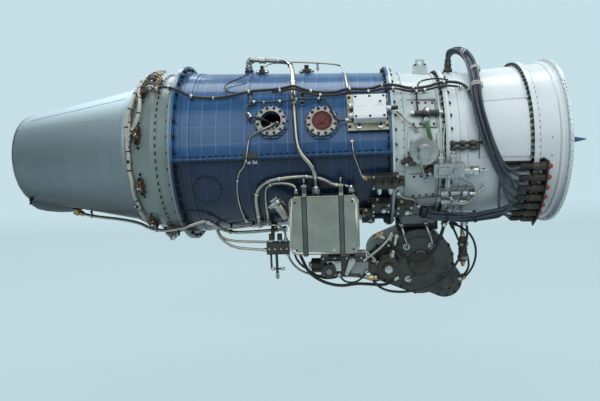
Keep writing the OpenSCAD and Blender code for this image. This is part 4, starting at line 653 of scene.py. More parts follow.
# Pipes and cables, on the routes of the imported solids
breather = Route([(-1052, 2, 10), (-1052, 2, 30), (-1050, 3, 42), (-1040, 6, 48), (-1000, 6, 48),
    (-915, 8, 44), (-893, 14, 34), (-884, 24, 22), (-880, 38, 18), (-876, 55, 18), (-872, 69, 18),
    (-868, 82, 20), (-854, 89, 26), (-820, 96, 32), (-812, 101, 36), (-812, 106, 31), (-812, 110.5, 29),
    (-812, 113.8, 36)])
oil_feed = Route([(-697, 113.6, 40), (-698, 111, 34), (-725, 110, 22), (-755, 110, 20), (-776, 107, 18),
    (-810, 104, 18), (-870, 103, 18), (-935, 104, 18), (-978, 106, 18), (-1002, 110, 18), (-1013, 116, 18),
    (-1015, 125, 18), (-1017, 138, 18), (-1019, 143, 20), (-1020, 145, 18), (-1020, 145, 5.5)])
oil_return = Route([(-876, 113.8, 34), (-878, 109, 24), (-910, 107.5, 14), (-955, 107.5, 14),
    (-975, 109.5, 14), (-982, 116, 14), (-984, 128, 14), (-986, 138, 14), (-988, 143, 16), (-989, 145, 14),
    (-989, 145, 5.5)])
drain = Route([(-1754.5, 175, 14), (-1738, 174, 17), (-1700, 169, 20), (-1640, 160, 20), (-1545, 152, 20),
    (-1460, 147, 28), (-1410, 143.5, 42), (-1360, 140, 42), (-1310, 136.5, 44), (-1255, 133.5, 44),
    (-1215, 133.5, 28), (-1195, 135, 20), (-1172, 141, 20), (-1155, 150, 20), (-1130, 158, 20),
    (-1080, 161, 20), (-1000, 160, 20), (-930, 158, 20)])
drain_branch = Route([(-1158, 149, 19), (-1145, 152, 14), (-1120, 152, 12), (-1060, 150, 12),
    (-990, 149.5, 12), (-950, 150, 16), (-934, 152, 34), (-932, 154.5, 69)])
top_line = Route([(-920, 6, 40), (-895, 7, 42), (-730, 9, 34), (-706, 16, 24), (-704, 28, 14),
    (-699, 40, 12), (-694, 46, 14), (-694, 47, 12), (-694, 47, 3)])
port_line = Route([(-932, 67, -8), (-935, 68, 14), (-945, 70.5, 26), (-975, 73, 27), (-1000, 74.5, 22),
    (-1018, 76, 12), (-1026, 80, 8), (-1030, 88, 22), (-1040, 95, 22), (-1062, 99, 8), (-1073, 108, 8),
    (-1076, 120, 8), (-1070, 135, 9), (-1064, 141, 12), (-1064, 141, 3)])
valve_line = Route([(-690, 82, 3), (-690, 82, 16), (-688, 88, 22), (-682, 93, 22), (-672, 98, 20),
    (-664, 104, 33), (-648, 105, 33)])
main_line = Route([(-1345, 40, 14), (-1325, 42, 38), (-1290, 44.5, 42), (-1258, 46, 38), (-1235, 47, 20),
    (-1201, 48, 12), (-1140, 49, 12), (-1086, 47, 12), (-1020, 44, 18), (-955, 42.5, 14), (-905, 43.5, 26),
    (-885, 44.5, 39), (-865, 45, 39), (-845, 45.5, 26), (-790, 46, 14), (-734, 46, 16), (-715, 46, 26),
    (-690, 45, 26), (-629, 43.5, 14), (-582, 43, 31), (-545, 43, 31), (-492, 43, 14), (-429, 40, 14),
    (-400, 39, 26), (-367, 38, 26), (-328, 38, 18), (-306, 43, 14), (-297, 55, 12)])
second_line = Route([(-950, 44.5, 12), (-905, 45.6, 24), (-885, 46.6, 37), (-865, 47.1, 37),
    (-845, 47.6, 24), (-790, 48.3, 13), (-734, 48.3, 14), (-690, 47.4, 22), (-629, 46, 14),
    (-582, 45.5, 28), (-545, 45.5, 28), (-492, 45.6, 13), (-429, 43, 13), (-400, 42, 23), (-367, 41, 22),
    (-335, 41.5, 15)])
spare_loop = Route([(-1040, 24, 20), (-1062, 28, 14), (-1100, 32, 10), (-1116, 37, 9), (-1105, 42, 9),
    (-1070, 44.5, 10), (-1030, 44.8, 14)])
port_lead = Route([(-1015, 53, 16), (-1028, 57, 16), (-1031, 61, 18), (-1018, 64.5, 22), (-990, 65.5, 28),
    (-968, 66.5, 18), (-955, 67, -8), (-951, 67, -37)])
box_lead = Route([(-1015, 53, 16), (-940, 53.5, 12), (-860, 54, 36), (-830, 52, 16), (-795, 51, 14),
    (-769, 53, 24), (-757, 59, 31), (-749, 65, 31), (-733, 69, 28), (-712, 68.5, 26), (-686, 68.5, 26)])
case_cable = Route([(-475, 60, 0.6), (-475, 60, 12), (-477, 53, 14), (-473, 46, 27), (-466, 40, 27),
    (-448, 34, 18), (-411, 31, 18), (-390, 33, 24), (-365, 36, 26)])
harness_path = [(-342, 6, 18), (-342, 5, 50), (-330, 6, 75), (-295, 9, 73), (-272, 13, 52), (-266, 22, 34),
    (-270, 40, 26), (-276, 60, 24), (-266, 74, 26), (-243, 90, 28), (-205, 105, 32)]
lower_path = [(-455, 140, 26), (-420, 146, 30), (-345, 148, 34), (-285, 146, 36), (-225, 139, 38),
    (-195, 136, 38)]
gear_leads = [Route(points, True) for points in (
    [(-345, -95, -268), (-318, -100, -285), (-282, -104, -308), (-262, -104, -345), (-256, -102, -385),
    (-262, -98, -425), (-280, -92, -462), (-298, -86, -480), (-312.8, -82, -482)],
    [(-352, -120, -265), (-335, -124, -300), (-322, -122, -335), (-296, -118, -372), (-284, -110, -410),
    (-282, -96, -445), (-298, -70, -481), (-312.8, -64, -482)])]
mast_feed = Route([(-1178, -150, -268), (-1165, -152, -300), (-1120, -154, -332), (-1040, -154, -340),
    (-1000, -152, -344)], True)
mast_loop = Route([(-930, -150, -354), (-915, -150, -395), (-880, -150, -428), (-820, -146, -446),
    (-740, -138, -450), (-680, -124, -456), (-640, -100, -474), (-612, -88, -487), (-600, -84, -484),
    (-600, -84, -473.2)], True)
PANEL_X, SOCKET_H = -87.0, 37.0


def socket_clock(i):
    return 101.0 + 7.0 * i


def strand(path, da, dh, i):
    """One harness strand, beside the shared path and into its own connector."""
    return Route([(x, a + da, h + dh) for x, a, h in path]
        + [(PANEL_X - 70, socket_clock(i), SOCKET_H), (PANEL_X - 44, socket_clock(i), SOCKET_H)])


def pipes():
    top = Piece("breather_tube").add(breather.tube(15, 20), tube_steel)
    top.add(union_nut(16), bright_steel, *breather.ends())
    loop_clamps(top, breather, (210, 430), 15)
    for run in (150, 330, -60):
        top.add(drum([(7.3, -5), (8.6, -5), (8.6, 5), (7.3, 5)], 0.7, 20), bright_steel,
            breather.place(run))
    top.add(round_bar(16, 9, 1.2, 28), duct_blue, on_skin(-1052, 2, -1))
    top.nuts(*circle(on_skin(-1052, 2, 7.6), 6, x=12.4))
    top.done("pipe_steel", "breather_pipe")

    oil = Piece("oil_tubes").add(oil_feed.tube(13, 16), tube_steel).add(oil_return.tube(9, 12), tube_steel)
    for route, d in ((oil_feed, 14), (oil_return, 10)):
        oil.add(union_nut(d), bright_steel, *route.ends())
    loop_clamps(oil, oil_feed, (165, 355), 13)
    loop_clamps(oil, oil_return, (110,), 9, foot=8)
    for run in (62, 255, -70):
        oil.add(drum([(6.3, -4), (7.6, -4), (7.6, 4), (6.3, 4)], 0.6, 18), bright_steel,
            oil_feed.place(run))
    oil.done("pipe_steel", "oil_pipes")

    low = Piece("drain_tube").add(drain.tube(12, 16), tube_steel).add(drain_branch.tube(8, 12), tube_steel)
    low.add(union_nut(13), bright_steel, *drain.ends())
    low.add(joined((block(26, 24, 22, 2.4), 6), round_bar(9.4, 34, 1.0, 24), (hexagon(11, 9), 24)), brass,
        drain.place(2))
    low.add(joined((hexagon(9.5, 15, 0.8), -7), (round_bar(8, 26, 1.0, 20), -13)), bright_steel,
        drain.place(-330))
    loop_clamps(low, drain, (90, 420, -210, -40), 12, foot=12)
    loop_clamps(low, drain_branch, (120,), 8, foot=6)
    low.add(union_nut(9), bright_steel, drain_branch.place(-0.5) @ at(tip=180))
    low.done("pipe_steel", "drain_pipe")

    thin = Piece("sense_tubes")
    for route in (top_line, port_line, valve_line):
        thin.add(route.tube(6, 12), tube_steel)
        thin.add(union_nut(8), bright_steel, *route.ends())
    loop_clamps(thin, port_line, (205, 285), 6, foot=6)
    loop_clamps(thin, top_line, (120,), 6, foot=24)
    thin.done("pipe_steel", "sense_lines")


def cables():
    main = Piece("main_cable_run").add(main_line.tube(10, 16), sleeve_black)
    loop_clamps(main, main_line, (70, 150, 345, 560, 690, 905, 1010), 10, foot=11)
    tied(main, main_line, (225, 450, 800, -45), 10, tie_white)
    main.add(joined((round_bar(9, 26, 1.4, 24), -4), (hexagon(11, 8), 4)), bright_steel, main_line.place(0))
    main.add(second_line.tube(8, 14), sleeve_black).add(spare_loop.tube(5, 10), sleeve_black)
    loop_clamps(main, second_line, (30, 170, 330, 410, 520, 640), 8, foot=9)
    for x, a, span in ((-1020, 48.5, 58), (-849, 50, 50), (-699, 49.5, 40)):
        bar = on_skin(x, a, 7)
        main.add(block(11, span, 3, 0.9), bright_steel, bar)
        for side in (-1, 1):
            main.add(round_bar(4.6, 7, 0.6, 16), bright_steel, bar @ at(y=side * (span / 2 - 7), z=-7.4))
            main.nuts(bar @ at(y=side * (span / 2 - 7), z=1.4))
    main.done("cable_black", "main_cable")

    leads = Piece("ignition_cables")
    for route, d in ((port_lead, 7), (box_lead, 7), (case_cable, 6)):
        leads.add(route.tube(d, 12), sleeve_black)
    leads.add(joined(round_bar(5.6, 20, 0.8, 20), (hexagon(7, 7), 12)), bright_steel, box_lead.place(-24),
        port_lead.place(-26))
    leads.add(round_bar(8.5, 22, 1.5, 20), bright_steel, port_lead.place(52))
    loop_clamps(leads, box_lead, (8, 95, 228), 7, foot=9)
    loop_clamps(leads, case_cable, (70,), 6, foot=9)
    tied(leads, box_lead, (40, 150), 7, tie_white)
    tied(leads, case_cable, (120,), 6, tie_white)
    leads.done("cable_black", "ignition_leads")

    upper = Piece("upper_harness_strands")
    for s in ((-1.2, 6, 0), (-1.2, -4, 1), (1.2, 6, 2), (1.2, -4, 3)):
        upper.add(strand(harness_path, *s).tube(9.4, 14), sleeve_grey)
    for i, (da, dh, dx) in enumerate(((0.0, 12, 0), (0.0, 1, 0), (-2.6, 1, 0), (0.4, 5, -11),
            (-1.4, 9, -16), (1.6, -2, -12), (0.6, 2, -21), (-0.6, -4, -20), (1.0, 8, -27))):
        bulge = [(x + dx * min(1.0, k / 4), a + da, h + dh)
            for k, (x, a, h) in enumerate(harness_path[:-1])]
        ends = [(-205, 106 + 3.2 * (i % 5), 32), (-168, 104 + 7 * (i % 5), 34),
            (PANEL_X - 60, 104 + 7 * (i % 5), 35)]
        upper.add(Route(bulge + ends).tube(7.6 if i > 2 else 6.4, 12), sleeve_grey)
    upper.add(drum([(0, 0), (16, 0), (16, 10), (13, 13), (13, 17), (0, 17)], 1.2, 32), dark_alloy,
        on_skin(-342, 5.5, 3.5))
    upper.add(joined(round_bar(11, 30, 2, 28), (hexagon(13.5, 9), 4)), dark_alloy, on_skin(-342, 5.5, 20))
    middle = Route([(x, a, h + 1) for x, a, h in harness_path])
    for run, r, back in ((96, 30, 0), (205, 36, 4), (290, 42, 9)):
        for lift in (0, 9):
            band = drum([(r / 2 - 2, -3.4), (r / 2 + 0.6, 0), (r / 2 - 2, 3.4)], 0.8, 28)
            upper.add(band, tie_white, Matrix.Translation((-back, 0, 0)) @ middle.place(run + lift))
    upper.done("harness_sleeve", "upper_harness")

    lower = Piece("lower_harness_strands")
    for s in ((-1.3, 5, 4), (0, -5, 5), (1.3, 5, 6)):
        lower.add(strand(lower_path, *s).tube(9.4, 14), sleeve_grey)
    for i, (da, dh) in enumerate(((0.0, 4), (2.5, -3), (-2.6, -3), (-3.6, 5), (-4.8, -2), (3.6, 6),
            (-1.4, 10), (1.6, 11))):
        sway = [(x, a + da + 1.2 * math.sin(2.1 * i + 1.3 * k), h + dh)
            for k, (x, a, h) in enumerate(lower_path)]
        ends = [(-168, 136 - 4 * (i % 4), 36), (PANEL_X - 60, 140 - 7 * (i % 4), 36)]
        lower.add(Route(sway + ends).tube(7.2, 12), sleeve_grey)
    for route in gear_leads:
        lower.add(route.tube(8, 12), sleeve_black)
        lower.add(joined(round_bar(7.5, 22, 1, 20), (hexagon(9, 8), 2)), brass, route.place(-24))
        lower.add(round_bar(6.5, 26, 1.2, 20), rubber, route.place(0))
    bundle = Route([(x, a, h - 0.5) for x, a, h in lower_path])
    for run, r in ((6, 40), (95, 42), (190, 42)):
        band = drum([(r / 2 - 2, -4), (r / 2, -4), (r / 2, 4), (r / 2 - 2, 4)], 0.8, 28)
        lower.add(band, rubber, bundle.place(run))
    lower.done("harness_sleeve", "lower_harness")


# Casings
def casings():
    front = Piece("intake_trim")
    front.add(turned([(-20, 272), (-20, 276.5), (-24, 279.5), (-31, 279.2), (-35, 275.6), (-35, 272)], 1.6),
        white)
    front.add(turned([(-2, 286), (-2, 289), (-8, 289), (-8, 286)], 1.2), bright_steel)
    front.add(RIVET, white, *skin_row(-94, -0.6, INTAKE_BOLTS))
    front.add(RIVET, dark_steel, *skin_row(-60, -0.6, 2, 84, 24))
    front.done("white_enamel")

    fan = Piece("fan_case_trim")
    fan.add(turned([(-126, 262), (-126, 269.4), (-282, 258.2), (-282, 254)], 0.5, 60, 40, 56), white)
    for x in (-124, -282):
        fan.add(skin_band(x, x - 2.6, -3, 0.5, 0.2, 60, 42.8, 54.6), rubber)
    screws = [on_skin(x, a, -0.6) for a in (96, 54.5) for x in range(-132, -280, -9)]
    screws += [on_skin(x, 55 + 2.1 * k, -0.6) for x in (-129, -279) for k in range(20)]
    fan.add(RIVET, dark_steel, *screws)
    fan.add(turned([(-118, 262), (-118, 271), (-210, 264.5), (-210, 255)], 0.8, 30, 6.6, 99.4), dark_alloy)
    fan.add(block(6.5, 9, 5, 1), dark_steel, *(on_skin(x, 101, 3) for x in range(-124, -206, -9)))
    for a in (150, 205, 300):
        fan.add(turned([(-140, 262), (-140, 267.6), (-330, 255.4), (-330, 250)], 0.5, 24, 14, a), white)
        fan.add(RIVET, dark_steel, *(on_skin(x, a + da, 0.6) for x in range(-146, -328, -20)
            for da in (1, 13)))
    fan.add(RIVET, white, *skin_row(-322, -0.4, 72), *skin_row(-353, -0.4, 72))
    fan.done("white_enamel")

    middle = Piece("intermediate_trim")
    middle.add(RIVET, dark_steel, *skin_row(-396, -0.4, 60, 3), *skin_row(-525, -0.4, 60, 3))
    for a in (62, 118, 150, 210, 242, 298):
        frame_in, frame_out = skin(-430) - 2, skin(-430) + 3.4
        middle.add(turned([(-412, frame_in), (-412, frame_out), (-416, frame_out), (-416, frame_in)], 0.6,
            16, 22, a - 11), plate_steel)
        for da in (-11, 11):
            middle.add(block(92, 4, 8, 1), plate_steel, on_skin(-460, a + da, 0.5))
        middle.add(SCREW, dark_steel, *(on_skin(x, a + da, -0.5) for x in (-424, -446, -468, -490)
            for da in (-8.6, 8.6)))
    for a in (84, 264):
        middle.add(block(10, 60, 12, 2), white_in_painted_shade, on_skin(-412, a, 3), on_skin(-508, a, 3))
    middle.add(block(42, 38, 4, 1.2), white_in_painted_shade, clock(-437, 0, 283))
    middle.nuts(*(clock(-437 + x, 0, 284.5) @ at(y=y) for x in (-17, 17) for y in (-14, 14)))
    middle.done("white_enamel")

    top = Piece("duct_upper_trim")
    low = Piece("duct_lower_trim")
    for part, start, blue in ((top, 270, duct_blue), (low, 90, duct_blue_shaded)):
        for x in (-580, -700, -720, -842, -858, -1028, -1044, -1215, -1244, -1256, -1268):
            h, w = (2.4, 2.5) if x < -1240 else (1.0, 5)
            part.add(turned([(x + w, skin(x) - 2), (x + w, skin(x) + h), (x - w, skin(x) + h),
                (x - w, skin(x) - 2)], 0.5, 64, 172, start + 4), blue)
    for x, a in (OPEN_PORT, BLANKED_PORT):
        top.add(drum([(33.5, -6), (57, -6), (57, 7.6), (33.5, 7.6)], 0.8, 40), duct_blue, on_skin(x, a))
        top.add(RIVET, dark_steel, *circle(on_skin(x, a, 6.6), 16, x=54))
    low.add(drum([(43, 0), (43.6, 3.2), (44.4, 3.2), (45, 0)], 0.3, 48), duct_blue_shaded,
        on_skin(-1175, 111, -0.2))
    low.add(SCREW, dark_steel, *circle(on_skin(-1175, 111, 2.2), 18, x=47))
    for x in (-1030, -1008):
        low.add(block(16, 13, 3, 1), bright_steel, on_skin(x, 93, 2))
        low.add(SMALL_NUT, bright_steel, on_skin(x, 93, 3.4))
    top.add(block(52, 16, 3, 1), dark_alloy, on_skin(-1019, 88.5, 19))
    for part, edge, a0, a1 in ((top, duct_blue, 20, 40), (low, duct_blue_shaded, 200, 240)):
        part.add(skin_band(-600, -690, -2, 1, 0.5, 24, a1 - a0, a0), edge)
        part.add(RIVET, dark_steel, *(on_skin(x, a, 0.6) for x in (-605, -685)
            for a in range(a0 + 2, a1, 3)))
    top.done("blue_enamel")
    low.done("blue_enamel")

    rear = Piece("rear_case_trim")
    rear.add(turned([(-1290, 284), (-1290, 293), (-1297, 293), (-1301, 291.5), (-1301, 284)], 1.2),
        rear_grey)
    rear.add(block(5, 13, 3, 0.8), dark_steel, *skin_row(-1336, 3.6, 72))
    for k in range(10):
        rear.nuts(on_rear(36 * k - 8.55, 3.4), on_rear(36 * k + 8.55, 3.4))
    rear.done("grey_enamel")

    jet = Piece("jet_pipe_trim")
    jet.add(turned([(-1459, 247), (-1459, 253.5), (-1474, 251), (-1474, 243)], 1.5), pipe_grey)
    jet.add(turned([(-1896, 158), (-1896, 163.6), (-1903, 162.6), (-1903, 157)], 1.0), plate_steel)
    jet.add(turned([(-1878, 160), (-1878, 166.6), (-1881, 166), (-1881, 160)], 0.6), pipe_grey)
    jet.add(RIVET, plate_steel, *skin_row(-1467, 3.2, 72), *skin_row(-1889, -0.4, 48))
    slope = math.degrees(math.atan((250 - 161) / 451))
    for a in (30, 150, 270):
        jet.add(block(396, 5, 1.6, 0.6), pipe_grey, on_skin(-1676, a, 0.1) @ at(roll=-slope))
    jet.done("pipe_grey")


def on_rear(a, h):
    """Place at a height on the rear case's cone, with Z along its normal."""
    return on_skin(PROBES_X, a) @ at(roll=-math.degrees(math.atan(38 / 97))) @ at(z=h)


def fasteners():
    joints = Piece("joint_fasteners")
    joints.add(block(11, 7, 9, 1.2), dark_steel, *(clock(-121, 360 / INTAKE_BOLTS * k, 275.2, 90)
        for k in range(INTAKE_BOLTS)))
    joints.add(drum([(0, 3), (3, 3), (3.8, 0), (0, 0)], 0.5, 12), dark_steel,
        *round_row(-101, 276.2, INTAKE_BOLTS, FORWARD))
    for x, r, grip in ((-381, 259, 8), (-561, 277.5, 8), (-1280, 307, 8)):
        joints.add(NUT, dark_steel, *round_row(x + grip, r, 36, FORWARD, 5))
        joints.add(NUT, dark_steel, *round_row(x - grip, r, 36, BACKWARD, 5))
        joints.nuts(*round_row(x - grip, r - 1, 36, BACKWARD, 0))
    for side in (-1, 1):
        for i in range(31):
            x = -603 - 21.17 * i
            y = side * (skin(x) + 10)
            joints.nuts(at(x, y, 6), at(x, y, -6, tip=180))
    joints.done("dark_fastener", "flange_bolts")


# Ports, exciter and tank
def ports():
    rings = Piece("port_ring_pair").add(merged("port_rings", 0.9), plate_steel)
    for x, a in (OPEN_PORT, BLANKED_PORT):
        base = skin(x) + 7
        rings.add(drum([(33.2, 10), (33.2, 13), (36.5, 13), (38, 11.6)], 0.5, 48), plate_steel,
            clock(x, a, base))
        rings.nuts(*circle(clock(x, a, base + 11.6), 12, 15, x=44))
        rings.add(block(9, 5, 7, 1), dark_steel, *circle(clock(x, a, base + 3.4), 12, x=51.5))
    rings.done("bright_alloy", "port_rings")

    blank = Piece("port_plug")
    base = on_skin(*BLANKED_PORT, 7)
    blank.add(drum([(0, 6.6), (20, 6.2), (27, 7.6), (30, 9.4), (32.5, 9.2), (32.6, 0), (0, 0)], 0.7, 48),
        blank_red, base)
    blank.add(joined(round_bar(9, 12, 1.2, 28), hexagon(5, 14.5)), blank_red, base)
    blank.add(block(40, 5, 3, 1.2), blank_red, base @ at(z=7.8, turn=35))
    blank.add(RIVET, blank_red, *circle(base, 6, x=25, z=6.6))
    blank.done("red_cap", "port_blank")

    plug = Piece("igniter_plug").add(merged("igniter", 0.4), core_steel)
    tip = clock(*OPEN_PORT)
    plug.add(joined((hexagon(11.5, 9), 206), (round_bar(10.6, 6, 0.8, 28), 222)), bright_steel, tip)
    for k in range(5):
        plug.add(drum([(9.8, 0), (10.7, 1), (9.8, 2)], 0.3, 28), bright_steel, tip @ at(z=214 + 1.5 * k))
    plug.done("igniter_steel", "igniter")


def exciter():
    base = on_skin(*EXCITER, 22)
    box = Piece("exciter_unit").add(block(103.6, 83.6, 41.4, 3.2, 3), exciter_paint, base @ at(z=20.9))
    box.add(block(95, 75, 2.4, 0.9), exciter_paint, base @ at(z=41.2))
    box.add(block(84, 27, 2.2, 0.9), exciter_paint, base @ at(x=-1, y=-20, z=42.2))
    box.add(block(26, 3, 1.6, 0.6), exciter_paint, base @ at(x=-28, y=4, z=42.8),
        base @ at(x=28, y=4, z=42.8))
    box.add(drum([(3.6, 0.6), (4.2, 3), (8.4, 3), (9, 0)], 0.5, 32), exciter_paint,
        base @ at(x=33, y=14, z=41.6))
    box.add(SCREW, dark_steel, base @ at(x=33, y=14, z=41.2),
        *grid(base, (-44, 0, 44), (-34.5, 34.5), 41.4))
    for x in (-34, 34):
        box.add(joined((block(18, 11, 7.6, 1.2), at(y=-46.5, z=4)),
            (round_bar(9, 7.6, 0.8, 24), at(y=-51.5, z=0.2))), bright_steel, base @ at(x=x))
        box.nuts(base @ at(x=x, y=-48.4, z=7.6))
    for y in (-20, 14):
        mount = base @ at(x=-51.5, y=y, z=19, roll=-90)
        box.add(joined(round_bar(11, 5, 0.8, 28), round_bar(8.8, 14.6, 0.8, 28), (hexagon(10.4, 5.4), 6)),
            bright_steel, mount)
    box.add(joined(round_bar(10, 4, 0.8, 28), round_bar(8, 16, 0.8, 28)), bright_steel,
        base @ at(x=52, z=21, roll=90))
    box.add(joined(round_bar(6.4, 24, 1, 20), (hexagon(7.6, 6), 2)), rubber, base @ at(x=66, z=21, roll=90))
    box.done("exciter_grey", "exciter_box")

    tray = Piece("exciter_tray").add(merged("exciter_bracket", 0.8), khaki)
    foot = on_skin(*EXCITER)
    tray.nuts(*grid(foot, (-64, 56), (-26, 26, -50, 54), 22))
    tray.add(block(2.4, 116, 9, 0.8), khaki, foot @ at(x=-71, z=24), foot @ at(x=60.4, z=20.5))
    for y in (-26, 26):
        tray.add(drum([(5.8, 1), (9, 1), (9, 5), (7, 8), (5.8, 8)], 0.7, 24), rubber,
            *(foot @ at(x=x, y=y, z=3) for x in (-64, 52)))
    tray.done("khaki_plate", "exciter_bracket")


def rounded_outline(length, height, corner):
    """Outline of a plate with round corners, centred."""
    points = []
    for k, (sx, sy) in enumerate(((1, 1), (-1, 1), (-1, -1), (1, -1))):
        for i in range(7):
            a = math.radians(90 * (k + i / 6))
            points.append((sx * (length / 2 - corner) + corner * math.cos(a),
                sy * (height / 2 - corner) + corner * math.sin(a)))
    return points


def tank():
    body = Piece("oil_tank_shell").add(merged("oil_tank", 2.2), tank_steel)
    face = at(TANK_X, -345, TANK_Z, tip=90)
    body.add(plate(rounded_outline(200, 168, 20), 1.2, 0.9), tank_steel, face @ at(z=-0.6))
    body.add(plate(rounded_outline(222, 190, 29), 4.2, 1.8), tank_steel, at(TANK_X, -331.6, TANK_Z, tip=90))
    for x in (-697, -812, -876):
        pad = at(x, -284, -130)
        body.add(drum([(0, -4), (17, -4), (16, 0.8), (13, 2.4), (10, 5), (0, 5)], 1.0, 32), tank_steel, pad)
        body.nuts(*circle(pad, 6, 30, x=14.4, z=0.6))
    body.add(round_bar(6, 6, 1, 20), bright_steel, at(-758, -340.6, -300, tip=90))
    body.add(joined(hexagon(9, 7), round_bar(11, 2, 0.5, 24)), bright_steel,
        at(TANK_X, -280, -312, tip=180))
    body.add(SCREW, dark_steel, *(at(x, -343.4, z, tip=90) for x in (-878, -696) for z in (-300, -144)))
    body.done("tank_steel", "oil_tank")

    straps = Piece("tank_strap_pair").add(merged("tank_straps", 0.5), strap_steel)
    for x in (-849, -731):
        for side in (-7.6, 7.6):
            straps.add(block(2.2, 2.6, 192, 0.6), rubber, at(x + side, -345.6, TANK_Z))
        straps.add(block(14, 20, 5, 1.2), bright_steel, at(x, -311, -122.5))
        fork = joined((block(3, 14, 30, 1.2), at(x=-5)), (block(3, 14, 30, 1.2), at(x=5)),
            (round_bar(3.4, 18, 0.5, 16), at(x=-9, z=9, roll=90)), (round_bar(3.0, 34, 0.5, 16), 2))
        straps.add(fork, bright_steel, at(x, -311, -106))
        straps.nuts(at(x + 8, -311, -97, roll=90), at(x, -311, -88))
        straps.add(block(15, 30, 3, 1), bright_steel, at(x, -331, -124))
    straps.done("dark_fastener", "tank_straps")


NECK = at(-907, -300, -200, roll=-35)


def filler():
    neck = Piece("filler_tube").add(merged("filler_neck", 0.5), tank_steel)
    neck.add(drum([(14.6, 20), (16.4, 20.8), (16.4, 24), (14.6, 25)], 0.6, 32), tank_steel, NECK)
    neck.add(drum([(14.8, 49), (19, 54), (22.4, 56), (22.4, 58)], 0.8, 36), bright_steel, NECK)
    neck.add(drum([(14.9, 2), (17.6, -1), (20, -3), (22, -9)], 1.4, 32), tank_steel, NECK)
    neck.add(block(3, 9, 18, 1), bright_steel, NECK @ at(x=20, z=47))
    neck.nuts(NECK @ at(x=21.4, z=44, roll=90))
    neck.done("tank_steel", "filler_neck")

    lid = Piece("filler_lid").add(merged("filler_cap", 0.7), bright_steel)
    lid.add(drum([(14, 68.4), (15, 70.6), (18.4, 70.6), (20.4, 68.6)], 0.5, 36), bright_steel, NECK)
    lid.add(block(2.6, 4.4, 7.4, 0.8), bright_steel, *circle(NECK, 15, x=20.2, z=65.6))
    lid.add(joined((block(30, 4, 3.4, 1.2), 77), (round_bar(2.6, 22, 0.5, 16), at(y=11, z=73, tip=90))),
        bright_steel, NECK)
    lid.done("bright_alloy", "filler_cap", body="cap")


